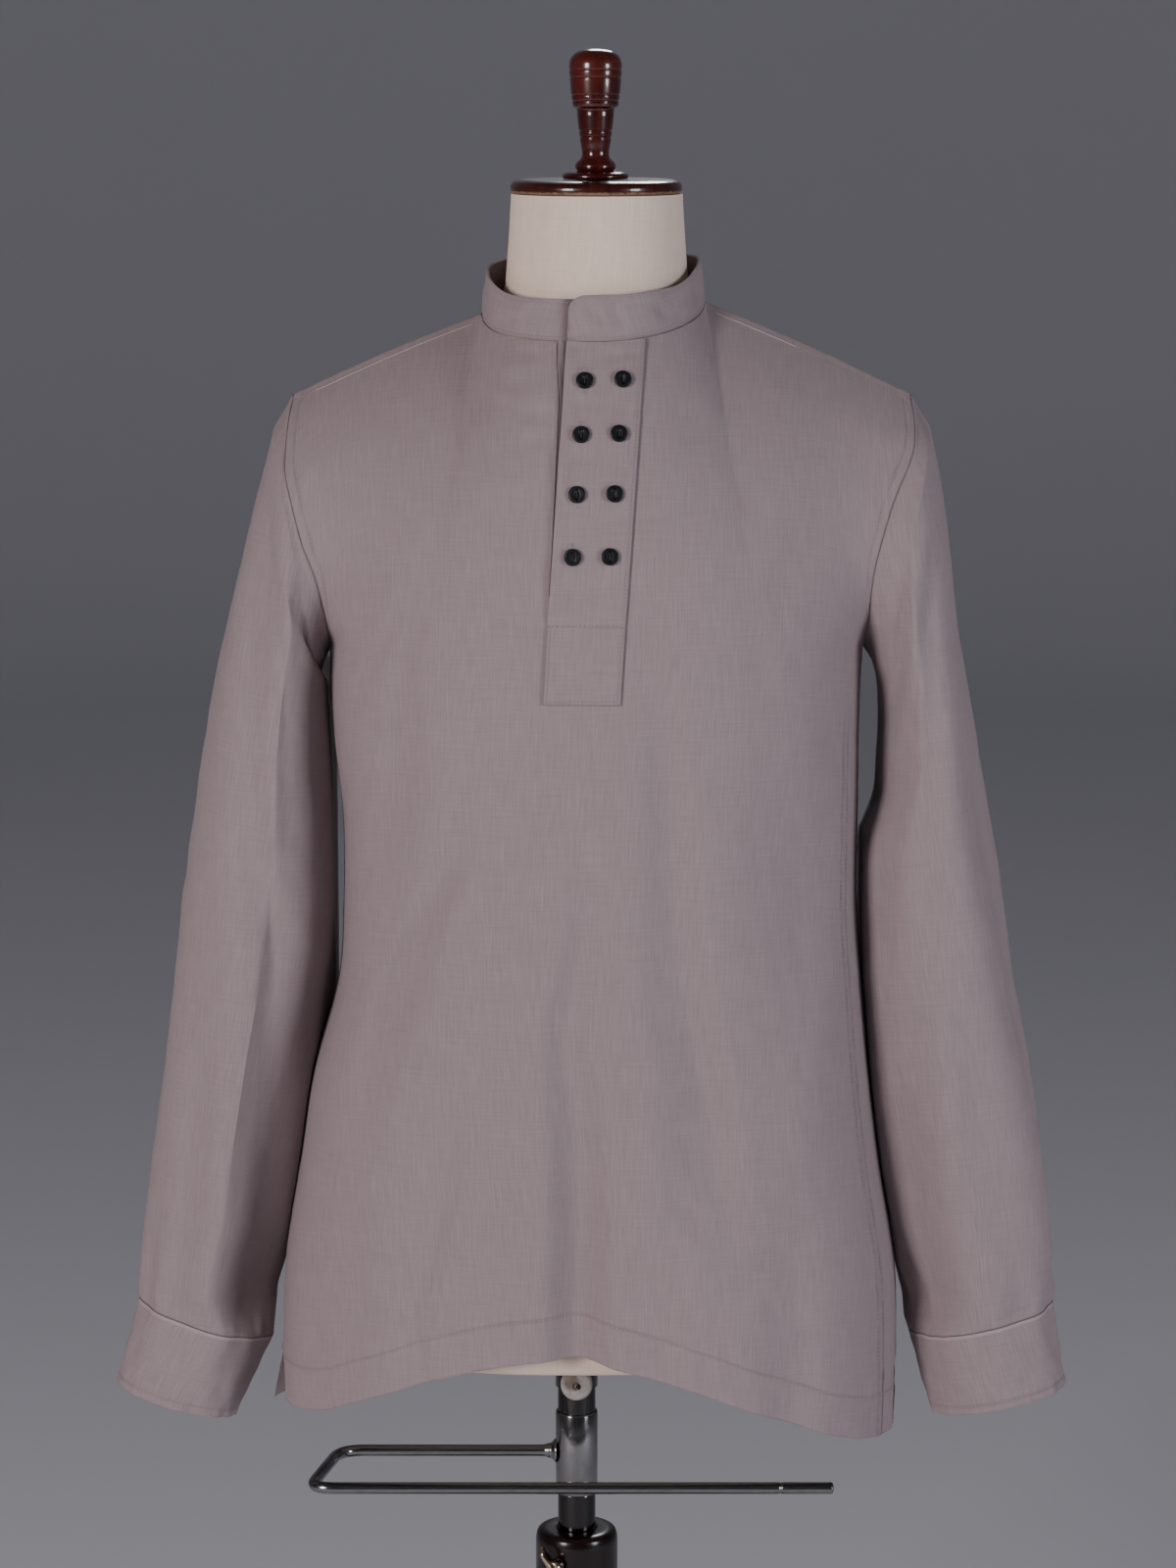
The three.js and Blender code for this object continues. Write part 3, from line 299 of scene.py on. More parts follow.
def bump(s):
    return np.exp(-s * s)


def waves(u, v, seed, count, longest, shortest, slant):
    """Smooth unevenness from -1 to 1 in a plane, made of seeded sine waves that run mostly along v."""
    dice = np.random.default_rng(seed)
    total = 0
    for i in range(count):
        length = longest * (shortest / longest) ** (i / max(1, count - 1))
        angle = dice.normal(0, slant)
        phase = dice.uniform(0, 2 * math.pi)
        total = total + np.sin(2 * math.pi * (u * math.cos(angle) + v * math.sin(angle)) / length + phase)
    return total / math.sqrt(count) / 1.6


# The body's form, as functions of the place: column c from -14 to 14, and t from 0 at the top edge
# through 1 at the chest line to 2 at the hem

def by_side(c, name):
    return np.where(np.asarray(c) < 0, SIDES["left"][name], SIDES["right"][name])


def column_distance(half, k):
    q = (k - 1) / (HALF_COLS - 1)
    outer = PLACKET["half"] + (half - PLACKET["half"]) * np.sin(np.clip(q, 0, 1) * math.pi / 2)
    return np.where(k <= 1, PLACKET["half"] * k, outer)


def level_point(face, c, z):
    k, sign = np.abs(c), by_side(c, "sign")
    middle = SECTIONS("mid", z)
    half = np.where(c < 0, middle - SECTIONS("left", z), SECTIONS("right", z) - middle)
    d = column_distance(half, k)
    fall = (1 - np.minimum(1, d / half) ** SQUARE) ** (1 / SQUARE)
    return points(middle + sign * d, SIDE_Y + (SECTIONS(face, z) - SIDE_Y) * fall, z)


def top_edge(c, is_front):
    k, sign = np.abs(c), by_side(c, "sign")
    neck_z, climb = by_side(c, "neck_z"), by_side(c, "climb")
    tip_x, tip_y, tip_z = (np.where(c < 0, a, b) for a, b in zip(SIDES["left"]["tip"], SIDES["right"]["tip"]))
    t = np.clip((k - NECK_END) / OUTER_COLS, 0, 1)
    shoulder = points(lerp(NECK["x"] + sign * NECK["half_width"], tip_x, t), lerp(NECK["y"], tip_y, t),
                      lerp(neck_z, tip_z, t) + 2 * np.sin(math.pi * t))
    start = np.arcsin((PLACKET["x"] + sign * PLACKET["half"] - NECK["x"]) / NECK["half_width"]) * sign
    middle = math.asin((PLACKET["x"] - NECK["x"]) / NECK["half_width"]) * sign
    round_neck = lerp(start, math.pi / 2, np.clip((k - 1) / NECK_COLS, 0, 1))
    angle = np.where(k <= 1, lerp(middle, start, k), round_neck)
    reach = NECK["half_depth"] * np.cos(angle) * (-1 if is_front else 1)
    rise = np.clip(1 - np.cos(angle), 0, 1) ** (climb if is_front else 1)
    neck = points(NECK["x"] + sign * NECK["half_width"] * np.sin(angle), NECK["y"] + reach,
                  lerp(NECK["front" if is_front else "back"], neck_z, rise))
    return np.where((k > NECK_END)[..., None], shoulder, neck)


def chest_height(k):
    return lerp(CHEST["middle"], CHEST["side"], (k / HALF_COLS) ** 3)


def armhole_point(face, side, w):
    z = lerp(SIDES[side]["tip"][2], CHEST["side"], w)
    return points(ARMHOLES[side]("x", z), ARMHOLES[side](face, z), z)


def yoke_point(face, c, w):
    k = np.abs(c)
    fall = 1 - (1 - w) ** lerp(2.25, 2.95, smooth((k / HALF_COLS - 0.2) / 0.5))
    top, chest = top_edge(c, face == "front"), level_point(face, c, chest_height(k))
    return points(*(lerp(top[..., i], chest[..., i], w if i != 1 else fall) for i in range(3)))


def body_point(face, c, t, low_z):
    """The plain form of the body: low_z gives the height where t is past the chest line."""
    k, w = np.abs(c), np.clip(t, 0, 1)
    upper = yoke_point(face, c, w)
    edge = np.where((c < 0)[..., None], armhole_point(face, "left", w), armhole_point(face, "right", w))
    rim = yoke_point(face, np.sign(c) * HALF_COLS + (c == 0) * HALF_COLS, w)
    upper = upper + (edge - rim) * ((k / HALF_COLS) ** 4)[..., None]
    return np.where((t < 1)[..., None], upper, level_point(face, c, low_z))


def cut_height(face, c, t):
    """Height of a place on the front or back, between the chest line and the hem."""
    foot = level_point(face, c, np.full(np.shape(c), float(HEM_LEVEL)))
    return lerp(chest_height(np.abs(c)), HEMS[face]("z", foot[..., 0]), np.clip(t - 1, 0, 1))


def corner_ramp(d, rounding):
    """Nothing before zero and then d, round the corner softly."""
    return (d + np.sqrt(d * d + rounding * rounding)) / 2


def trough_depth(face, x, z):
    """Depth of a panel's troughs: each slopes down from one side and returns from the other."""
    total = 0
    for trough in TROUGHS[face]:
        off = x - trough("x", z)
        left, right = trough("left", z), trough("right", z)
        slope = (corner_ramp(off + left, 5) - corner_ramp(off, 7) * (1 + left / right)
                 + corner_ramp(off - right, 5) * left / right) / left
        inside = (z < trough.rows[-1, 0]) & ((z > trough.rows[0, 0]) | (trough.rows[0, 2] > 0))
        total = total + np.clip(slope, 0, 1) * np.maximum(trough("depth", z), 0) * inside
    return total


def crease_depth(creases, x, z):
    total = 0
    for x0, z0, x1, z1, width, depth, bow in creases:
        along_x, along_z = x1 - x0, z1 - z0
        length = math.hypot(along_x, along_z)
        t = ((x - x0) * along_x + (z - z0) * along_z) / length**2
        off = ((x - x0) * along_z - (z - z0) * along_x) / length + bow * np.sin(math.pi * np.clip(t, 0, 1))
        s = off / width
        end = smooth((t + 0.15) / 0.4) * smooth((1.15 - t) / 0.3)
        total = total + depth * end * (bump(s) - LIP * (bump((s - 2) / 0.9) + bump((s + 2) / 0.9)))
    return total


def normals_of(grid, closed=False):
    down = np.gradient(grid, axis=0)
    if closed:
        across = (np.roll(grid, -1, 1) - np.roll(grid, 1, 1)) / 2
    else:
        across = np.gradient(grid, axis=1)
    return unit(np.cross(down, across))


def running(grid, axis):
    """Length along a grid's lines from their first point, at each point."""
    step = np.linalg.norm(np.diff(grid, axis=axis), axis=-1)
    return np.concatenate([np.zeros_like(np.take(step, [0], axis)), np.cumsum(step, axis)], axis)


# Meshes

def new_object(name, vertices, faces, uvs=None, sharp=50, shade=None):
    mesh = bpy.data.meshes.new(name)
    mesh.from_pydata((np.asarray(vertices) * MM).tolist(), [], [list(f) for f in faces])
    # The cloth's painted shade goes on as a point attribute, with painted highlight where it is negative
    if shade is not None:
        marks = mesh.attributes.new("painted_shade_and_highlight", "FLOAT", "POINT")
        marks.data.foreach_set("value", np.asarray(shade, np.float32))
    if uvs is not None:
        mesh.uv_layers.new(name="cloth").data.foreach_set("uv", np.asarray(uvs, float).ravel())
    mesh.shade_smooth()
    if sharp:
        mesh.set_sharp_from_angle(angle=math.radians(sharp))
    made = bpy.data.objects.new(name, mesh)
    bpy.context.scene.collection.objects.link(made)
    return made


def shell(name, outer, inner, uv, closed=False, keep=None, shade=None):
    """A closed wall between two grids of points, with its edges and any cut-out walled off."""
    height, width = outer.shape[:2]
    count = height * width
    cells = width if closed else width - 1
    ids = np.arange(count).reshape(height, width)
    wide = np.concatenate([ids, ids[:, :1]], 1) if closed else ids
    uv_ids = np.arange(height * (cells + 1)).reshape(height, cells + 1)
    keep = np.ones((height - 1, cells), bool) if keep is None else keep

    def corners(grid):
        return grid[:-1, :cells], grid[1:, :cells], grid[1:, 1:cells + 1], grid[:-1, 1:cells + 1]

    a, b, d, e = corners(wide)
    ua, ub, ud, ue = corners(uv_ids)
    faces, uv_faces = [], []

    def put(mask, *quad):
        faces.append(np.stack([ids_ + layer * count for ids_, layer, _ in quad], -1)[mask])
        uv_faces.append(np.stack([uv_ for _, _, uv_ in quad], -1)[mask])

    put(keep, (a, 0, ua), (b, 0, ub), (d, 0, ud), (e, 0, ue))
    put(keep, (a, 1, ua), (e, 1, ue), (d, 1, ud), (b, 1, ub))
    padded = np.pad(keep, 1)
    if closed:
        padded[1:-1, 0], padded[1:-1, -1] = keep[:, -1], keep[:, 0]
    put(keep & ~padded[:-2, 1:-1], (a, 0, ua), (e, 0, ue), (e, 1, ue), (a, 1, ua))
    put(keep & ~padded[2:, 1:-1], (b, 0, ub), (b, 1, ub), (d, 1, ud), (d, 0, ud))
    put(keep & ~padded[1:-1, :-2], (a, 0, ua), (a, 1, ua), (b, 1, ub), (b, 0, ub))
    put(keep & ~padded[1:-1, 2:], (e, 0, ue), (d, 0, ud), (d, 1, ud), (e, 1, ue))
    faces, uv_faces = np.concatenate(faces), np.concatenate(uv_faces)
    used, faces = np.unique(faces, return_inverse=True)
    vertices = np.concatenate([outer.reshape(-1, 3), inner.reshape(-1, 3)])[used]
    if shade is not None:
        shade = np.tile(np.broadcast_to(shade, (height, width)).ravel(), 2)[used]
    return new_object(name, vertices, faces.reshape(-1, 4), uv.reshape(-1, 2)[uv_faces.ravel()], shade=shade)


class Cloth:
    """A grid of points on a piece of cloth, with its rows and columns at known places."""

    def __init__(self, grid, rows, cols, closed=False):
        self.rows, self.cols, self.closed = rows, cols, closed
        # Painted shade along seams, edges and gaps, and painted highlight where negative
        self.shade = np.zeros(grid.shape[:2])
        self.set(grid)

    def set(self, grid):
        self.grid = grid
        self.normals = normals_of(grid, self.closed)
        self.across, self.down = running(grid, 1), running(grid, 0)

    def push(self, outwards):
        self.set(self.grid + self.normals * outwards[..., None])

    def paint_shade_line(self, away, amount, width=0.6, share=1.0):
        """Paints a fine line of painted shade where away is near zero, such as falls in a seam's ditch, beside an
        edge or along a row of stitches.
        """
        self.shade = np.maximum(self.shade, amount * bump(away / width) * share)

    def from_edge(self, edge):
        if edge == "left":
            return self.across
        if edge == "right":
            return self.across[:, -1:] - self.across
        if edge == "top":
            return self.down
        return self.down[-1:] - self.down

    def sample(self, row, col, lift=0.0):
        """Points at fractional rows and columns of the grid, lifted off the cloth."""
        height, width = self.grid.shape[:2]
        col = np.mod(col, width) if self.closed else np.clip(col, 0, width - 1)
        row = np.clip(row, 0, height - 1)
        r, c = np.minimum(row.astype(int), height - 2), col.astype(int)
        if not self.closed:
            c = np.minimum(c, width - 2)
        u, v = (row - r)[..., None], (col - c)[..., None]
        after = (c + 1) % width
        raised = self.grid + self.normals * lift
        above = lerp(raised[r, c], raised[r, after], v)
        below = lerp(raised[r + 1, c], raised[r + 1, after], v)
        return lerp(above, below, u)

    def at(self, c, t, lift=0.0):
        c, t = np.broadcast_arrays(np.asarray(c, float), np.asarray(t, float))
        row = np.interp(t, self.rows, np.arange(len(self.rows)))
        col = np.interp(c, self.cols, np.arange(len(self.cols)))
        return self.sample(row, col, lift)

    def beside(self, edge, distance, start, stop, lift=0.0):
        """A line that keeps its distance from an edge, between two places along that edge."""
        away = self.from_edge(edge)
        rows, cols = [], []
        if edge in ("left", "right"):
            for i in np.flatnonzero((self.rows >= start) & (self.rows <= stop)):
                line = away[i] if edge == "left" else away[i][::-1]
                at = np.interp(distance, line, np.arange(len(line)))
                rows.append(float(i))
                cols.append(at if edge == "left" else len(line) - 1 - at)
        else:
            for j in np.flatnonzero((self.cols >= start) & (self.cols <= stop)):
                line = away[:, j] if edge == "top" else away[:, j][::-1]
                at = np.interp(distance, line, np.arange(len(line)))
                cols.append(float(j))
                rows.append(at if edge == "top" else len(line) - 1 - at)
        return self.sample(np.array(rows), np.array(cols), lift)


def cloth_uv(cloth, level_row):
    """Places on the flat cloth, in metres: along each row from its middle, and up from one level row."""
    grid = cloth.grid
    if cloth.closed:
        grid = np.concatenate([grid, grid[:, :1]], 1)
    across, down = running(grid, 1), running(grid, 0)
    middle = across[:, [across.shape[1] // 2]]
    level = int(np.argmin(np.abs(cloth.rows - level_row)))
    return np.stack([across - middle, down[[level]] - down], -1) * MM


def panel_uv(cloth):
    """Places on the flat cloth of a panel, with lengthwise yarns straight down above the chest line too."""
    level = int(np.argmin(np.abs(cloth.rows - 1.0)))
    middle = len(cloth.cols) // 2
    line = cloth.grid[level, :, 0]
    step = np.minimum(np.diff(cloth.across[level]), 1.5 * np.abs(np.diff(line)))
    flat = np.concatenate([[0], np.cumsum(step)])
    order = np.argsort(line)
    x = cloth.grid[..., 0]
    beyond = (x - np.clip(x, line.min(), line.max())) * np.sign(line[-1] - line[0])
    hung = np.interp(x, line[order], (flat - flat[middle])[order]) + beyond
    share = smooth((1 - cloth.rows) / 0.25)[:, None]
    across = lerp(cloth.across - cloth.across[:, [middle]], hung, share)
    drop = np.concatenate([np.zeros((1, len(cloth.cols))),
                           np.cumsum(np.linalg.norm(np.diff(cloth.grid[..., 1:], axis=0), axis=-1), 0)])
    return np.stack([across, drop[[level]] - drop], -1) * MM


def sleeve_uv(cloth, side):
    """Places on the flat cloth of a sleeve, its lengthwise yarns running along the arm."""
    axis, sign = SLEEVE_AXIS[side], SIDES[side]["sign"]
    grid = np.concatenate([cloth.grid, cloth.grid[:, :1]], 1)
    outward = sign * (grid[..., 0] - axis["x"]) - axis["lean"] * (axis["z"] - grid[..., 2])
    turn = np.unwrap(np.arctan2(SLEEVE_OVAL["y"] - grid[..., 1], outward), axis=1)
    angle = np.linspace(-7.5, 7.5, 601)
    steps = np.hypot(np.diff(SLEEVE_OVAL["across"] * np.cos(angle)), np.diff(SLEEVE_OVAL["deep"] * np.sin(angle)))
    arc = np.concatenate([[0], np.cumsum(steps)])
    along = grid[..., 2] - sign * axis["lean"] * grid[..., 0]
    return np.stack([np.interp(turn, angle, arc), along], -1) * MM


def spaced(start, stop, step):
    return np.linspace(start, stop, max(2, round(abs(stop - start) / step) + 1))


# Front and back

EDGE_STEPS = (0, .5, 1.1, 1.8, 3, 4.6, 6, 6.7, 7.4, 8.4, 10)
FELLED = 6.7
SIDE_LINE = 11.1
SIDE_STEPS = (-8, -7.3, -6.7, -6.1, -5.4, -2, -1.3, -.6, 0, .6, 1.3)
HEM_DEPTH = 30
HEM_STEPS = (0, .5, 1.2, 2.4, 4.5, 7.5, 11, 15, 19, 23, 26.5, 28.4, 29.2, 30, 30.8, 32, 35)
PANEL_LENGTHS = (190.0, 530.0)

# How far each corner beside a slit stands open, and is drawn in towards the middle
SLIT_CORNERS = {"front": {"left": (12, 24), "right": (1, 1)}, "back": {"left": (7, -7), "right": (1, 0)}}


def body_columns(face, step):
    """Columns of a panel: even steps along a level line, and fine ones by the seams and the placket."""
    sides = []
    for sign in (-1, 1):
        k = np.linspace(0, HALF_COLS, 1401)
        side = sign if face == "front" else -sign
        arc = running(level_point(face, side * k, np.full(k.shape, 900.0))[None], 1)[0]
        placket, whole = arc[100], arc[-1]
        wanted = np.concatenate([
            spaced(0, placket - 1.5, step), [placket],
            spaced(placket + 1.5, whole - EDGE_STEPS[-1] - step, step), whole - np.array(EDGE_STEPS[::-1]),
        ])
        if face == "front" and sign > 0:
            seam = np.interp(SIDE_LINE, k, arc) + np.array(SIDE_STEPS)
            kept = np.min(np.abs(wanted[:, None] - seam), 1) > 0.8
            wanted = np.sort(np.concatenate([wanted[kept], seam]))
        sides.append(sign * np.interp(wanted, arc, k))
    return np.concatenate([sides[0][:0:-1], sides[1]])


def body_rows(step):
    upper, lower = PANEL_LENGTHS
    top = np.concatenate([EDGE_STEPS, spaced(EDGE_STEPS[-1] + step, upper - step, step)]) / upper
    low = np.concatenate([spaced(0, lower - HEM_STEPS[-1] - step, step), lower - np.array(HEM_STEPS[::-1])])
    return np.concatenate([top, 1 + low / lower])


def slot_width(t):
    """How much of the under placket shows beside the over one, widest at the neck."""
    return 4.4 * (1 - smooth(t / 0.22)) + 3.6 * (1 - smooth(t / 0.8))


def slot_shift(c, t):
    """Moves the slot's left edge outwards, so that the under placket shows beside the over one."""
    extra = (0.9 + slot_width(t)) / PLACKET["half"]
    near = np.where(c >= -1, np.clip(1 - (c + 1) * 8, 0, 1), np.clip(1 - (-1 - c) / 1.2, 0, 1) ** 1.5)
    return -extra * near * (t < PLACKET["slot"] + 0.02)


def seam_relief(away, along, seed, stitch=FELLED, height=0.45):
    """A felled seam: a puckered raised band between the edge and its stitches, which lie in a dip."""
    band = smooth(away / 0.8) * (1 - smooth((away - stitch - 0.5) / 1.2))
    pucker = waves(along, away, seed, 6, 26, 6, 0.5)
    return (height * band + 0.22 * pucker * bump((away - stitch * 0.6) / 5.5)
            - 0.35 * bump((away - stitch) / 0.7))


def from_side_line(cloth):
    """How far a place of the front lies to the left of the seam that shows beside the right slit."""
    return cloth.across[:, [int(np.argmin(np.abs(cloth.cols - SIDE_LINE)))]] - cloth.across


def side_relief(cloth, t, z):
    """The felled seam beside the right slit: its band and stitches, and the lower strip past the slit."""
    away = from_side_line(cloth)
    band = smooth(away / 0.8) - smooth((away - FELLED - 0.4) / 1.2)
    pucker = waves(cloth.down, away, 29, 6, 30, 7, 0.5) * bump((away - 3.5) / 5)
    seam = 0.45 * band - 0.35 * bump(away / 0.7) - 0.25 * bump((away - FELLED) / 0.7) + 0.3 * pucker
    return smooth((t - 1.05) / 0.1) * seam - 0.8 * smooth((-away - 0.2) / 1.2) * smooth((SLIT_TOP - 10 - z) / 6)


# Painted shade along the felled seam beside the right slit and its stitch row, and a wider painted shadow in the
# slit's gap below
def paint_side_seam_shade(cloth, t, z):
    away, below = from_side_line(cloth), smooth((t - 1.05) / 0.1)
    uneven = 0.7 + 0.3 * np.sin(cloth.down * 1.3 + 2 * np.sin(cloth.down * 0.31))
    cloth.paint_shade_line(away, 0.75, 1.3, below * uneven)
    cloth.paint_shade_line(away - FELLED, 0.45, 1.1, below * uneven)
    cloth.paint_shade_line(away + 0.8, 0.95, 1.9, smooth((SLIT_TOP - 4 - z) / 6))


def body_panel(face, step):
    outwards = -1 if face == "front" else 1
    cols, rows = body_columns(face, step), body_rows(step)
    c, t = np.meshgrid(cols, rows)
    if face == "back":
        c = -c
    place = c + slot_shift(c, t) if face == "front" else c
    grid = body_point(face, place, t, cut_height(face, place, t))
    x, z, k = grid[..., 0], grid[..., 2], np.abs(c)
    low = smooth((SLIT_TOP - z) / 60)
    corner = smooth((k - 12.3) / 1.7)
    corners = SLIT_CORNERS[face]
    open_out, draw_in = (np.where(c < 0, corners["left"][i], corners["right"][i]) for i in (0, 1))
    grid[..., 1] += outwards * open_out * low * corner
    grid[..., 0] += np.where(c < 0, 1, -1) * draw_in * low * corner
    grid[..., 2] += (face == "front") * low * smooth((k - 13.2) / 0.8) * 3
    inward = np.sqrt(np.clip(1 - (k / HALF_COLS) ** 6, 0, 1))
    depth = trough_depth(face, x, z) * inward
    fine = inward * smooth((k - 1.02) / 0.6) if face == "front" else inward
    fine = np.maximum(fine, inward * smooth((1060 - z) / 30))
    depth = depth + crease_depth(CREASES[face], x, z) * fine
    hang = smooth((1130 - z) / 260)
    seed = 5 if face == "front" else 11
    depth = depth + fine * (0.3 + 1.0 * hang) * waves(x, z, seed, 7, 150, 50, 0.22)
    depth = depth + fine * (0.10 + 0.25 * hang) * waves(x, z, seed + 1, 6, 42, 17, 0.7)
    room = FORM_INSET("face", z) * 0.9
    depth = np.where(depth > 0, depth / (1 + (np.maximum(depth, 0) / room) ** 4) ** 0.25, depth)
    grid[..., 1] -= outwards * depth
    cloth = Cloth(grid, rows, cols)
    relief = 0
    for edge, seed in (("left", 21), ("right", 22)):
        relief = relief + seam_relief(cloth.from_edge(edge), cloth.down, seed)
    on_shoulder = smooth((np.abs(cols) - NECK_END + 0.2) / 0.4)[None]
    relief = relief + seam_relief(cloth.from_edge("top"), cloth.across, 23, height=0.3) * on_shoulder
    relief = relief + neck_pull(cloth) * (1 - on_shoulder)
    if face == "front":
        relief = relief + side_relief(cloth, t, z)
        paint_side_seam_shade(cloth, t, z)
    cloth.push(relief + hem_relief(cloth, 24 if face == "front" else 34))
    # Painted shade in the seams' ditches at the armholes, sides and shoulders, along their stitch rows, and along
    # the hem's stitch row and bottom edge
    sewn = np.where(z > SLIT_TOP, 1.0, 0.35)
    for edge, share in (("left", sewn), ("right", sewn), ("top", on_shoulder)):
        near_tip = smooth((1262 - z) / 60) if edge != "top" else 1
        cloth.paint_shade_line(cloth.from_edge(edge), 0.6, 0.5, share * near_tip)
        cloth.paint_shade_line(cloth.from_edge(edge) - FELLED, 0.22, 0.6, share)
    cloth.paint_shade_line(cloth.from_edge("bottom") - HEM_DEPTH + 0.6, 0.22, 0.8)
    cloth.paint_shade_line(cloth.from_edge("bottom"), 0.3, 0.5)
    return cloth


def neck_pull(cloth):
    away = cloth.from_edge("top")
    return 0.35 * waves(cloth.across, away, 41, 7, 30, 8, 0.3) * bump(away / 9) * smooth(away / 1.5)


def hem_relief(cloth, seed):
    away, along = cloth.from_edge("bottom"), cloth.across
    band = 1 - smooth((away - HEM_DEPTH) / 1.4)
    pucker = waves(along, away, seed, 7, 44, 9, 0.5)
    edge = 0.5 * waves(along, away, seed + 1, 5, 90, 24, 0.2) * bump(away / 14)
    return (0.32 * band + 0.28 * pucker * bump((away - HEM_DEPTH * 0.8) / 9)
            - 0.4 * bump((away - HEM_DEPTH + 0.6) / 0.9) + edge)


def wall_depth(cloth):
    """How thick a panel is: its hem is turned up twice."""
    band = 1 - smooth((cloth.from_edge("bottom") - HEM_DEPTH) / 1.4)
    return lerp(WALLS["plain"], WALLS["hem"], band)


front = body_panel("front", 3.4)
back = body_panel("back", 4.2)


# Both panels meet at the side and shoulder seams, with a small gap between them
for cloth, outwards in ((front, -1), (back, 1)):
    on_side = np.zeros(cloth.grid.shape[:2])
    on_side[:, 0] = on_side[:, -1] = 1
    on_side[0, np.abs(cloth.cols) > NECK_END] = 1
    cloth.grid[..., 1] += outwards * SEAM / 2 * on_side


def panel_object(name, cloth, keep=None):
    depth = wall_depth(cloth)
    return shell(name, cloth.grid, cloth.grid - cloth.normals * depth[..., None], panel_uv(cloth),
                 keep=keep, shade=cloth.shade)


cell_cols = (front.cols[:-1] + front.cols[1:]) / 2
cell_rows = (front.rows[:-1] + front.rows[1:]) / 2
slot_cells = (np.abs(cell_cols) < 1)[None] & (cell_rows < PLACKET["slot"])[:, None]
front_piece = panel_object("kurta_front", front, keep=~slot_cells)
back_piece = panel_object("kurta_back", back)


# Plackets: strips over the front's slot, the upper one loose along its left edge

def placket_grid(cols, rows, lift):
    """Points over the front's middle; lift is a grid of heights above the cloth."""
    c, t = np.meshgrid(cols, rows)
    grid = body_point("front", c, t, cut_height("front", c, t))
    grid[..., 1] += trough_depth("front", grid[..., 0], grid[..., 2])
    cloth = Cloth(grid, rows, cols)
    cloth.push(lift(c, grid[..., 2], cloth))
    return cloth


def over_lift(c, z, cloth):
    """The over placket's outer face: stitched flat on its right, standing off a little on its open left."""
    loose = smooth((z - PLACKET["cross"]) / 14)
    left = smooth((-c - 0.55) / 0.45)
    soft = waves(cloth.down, cloth.across, 51, 6, 120, 34, 0.2)
    lift = SEAM + DOUBLED + loose * left * (1.3 + 0.9 * soft)
    across, along = cloth.across, cloth.down
    for edge in ("left", "right", "bottom"):
        away = cloth.from_edge(edge)
        lift = lift - 0.28 * bump((away - EDGE_STITCH) / 0.8) * (1 if edge != "left" else 1 - loose)
        lift = lift - 0.35 * bump(away / 0.7)
    lift = lift - 0.45 * bump((z - PLACKET["cross"]) / 1.1)
    lift = lift + 0.16 * waves(across, along, 52, 7, 60, 14, 0.8)
    for height, slope, width, depth, first, last in OVER_CREASES:
        between = smooth((c - first + .3) / .4) * smooth((last + .3 - c) / .4)
        lift = lift - depth * bump((z - height - slope * (c + 0.2)) / width) * between
    return lift


def height_to_t(z):
    """Place down the front's middle line of a height."""
    middle = np.array([0.0])
    top, chest = float(top_edge(middle, True)[0, 2]), CHEST["middle"]
    hem = float(cut_height("front", middle, np.array([2.0]))[0])
    return np.where(np.asarray(z) > chest, (top - z) / (top - chest), 1 + (chest - z) / (chest - hem))


near_edge = np.array([1, .985, .955, .915, .87])
over_cols = np.concatenate([-near_edge, spaced(-.81, .81, .065), near_edge[::-1]])
cross, end = PLACKET["cross"], PLACKET["end"]
over_rows = height_to_t(np.concatenate([
    [1308, 1307.2, 1306], spaced(1303.5, cross + 3, 2.6), cross + np.array([1.4, .7, 0, -.7, -1.4]),
    spaced(cross - 4, end + 4.6, 2.6), end + np.array([3.2, 2.2, 1.3, .5, 0]),
]))
over_rows[0] = 0.003
over = placket_grid(over_cols, over_rows, over_lift)
# Painted shade along the over placket's edges and stitch rows, and a dashed painted shade where the cross stitching
# pulls into the cloth
sewn_down = smooth((cross + 4 - over.grid[..., 2]) / 6)
for edge, share in (("left", sewn_down), ("right", 1.0), ("bottom", 1.0)):
    over.paint_shade_line(over.from_edge(edge), 0.5, 0.4, share)
    over.paint_shade_line(over.from_edge(edge) - EDGE_STITCH, 0.2, 0.6, share)
over.paint_shade_line(over.grid[..., 2] - cross, 0.55, 0.6, 0.55 + 0.45 * np.sin(over.across * 2.1))
over_piece = shell("over_placket", over.grid, over.grid - over.normals * WALLS["over"], cloth_uv(over, 1.0),
                   shade=over.shade)

# The under placket lies a little behind the front, and its top runs up under the collar
UNDER_SINK, UNDER_RISE = 0.6, 1.6
under_rows = np.concatenate([[0.003], spaced(0.015, PLACKET["slot"] - 0.004, 0.014)])
under_c = np.linspace(0, 1, 19)[None]
under_left = -1 - (slot_width(under_rows)[:, None] + 0.5) / PLACKET["half"]
under_c = under_left + (0.985 - under_left) * under_c
under_t = np.repeat(under_rows[:, None], under_c.shape[1], 1)
under_points = body_point("front", under_c, under_t, cut_height("front", under_c, under_t))
under_points[0, :, 2] += UNDER_RISE
under = Cloth(under_points, under_rows, np.linspace(-1, 1, 19))
under.push(0.12 * waves(under.across, under.down, 61, 5, 50, 16, 0.7) - UNDER_SINK)
# Painted shade on the under placket's strip beside the over one, darkest next to its edge
under.shade = 0.9 * smooth((under_c + 1.22) / 0.14)
under_piece = shell("under_placket", under.grid, under.grid - under.normals * WALLS["under"], cloth_uv(under, 0.4),
                    shade=under.shade)


# Sleeves

SLEEVE_COLS = 104


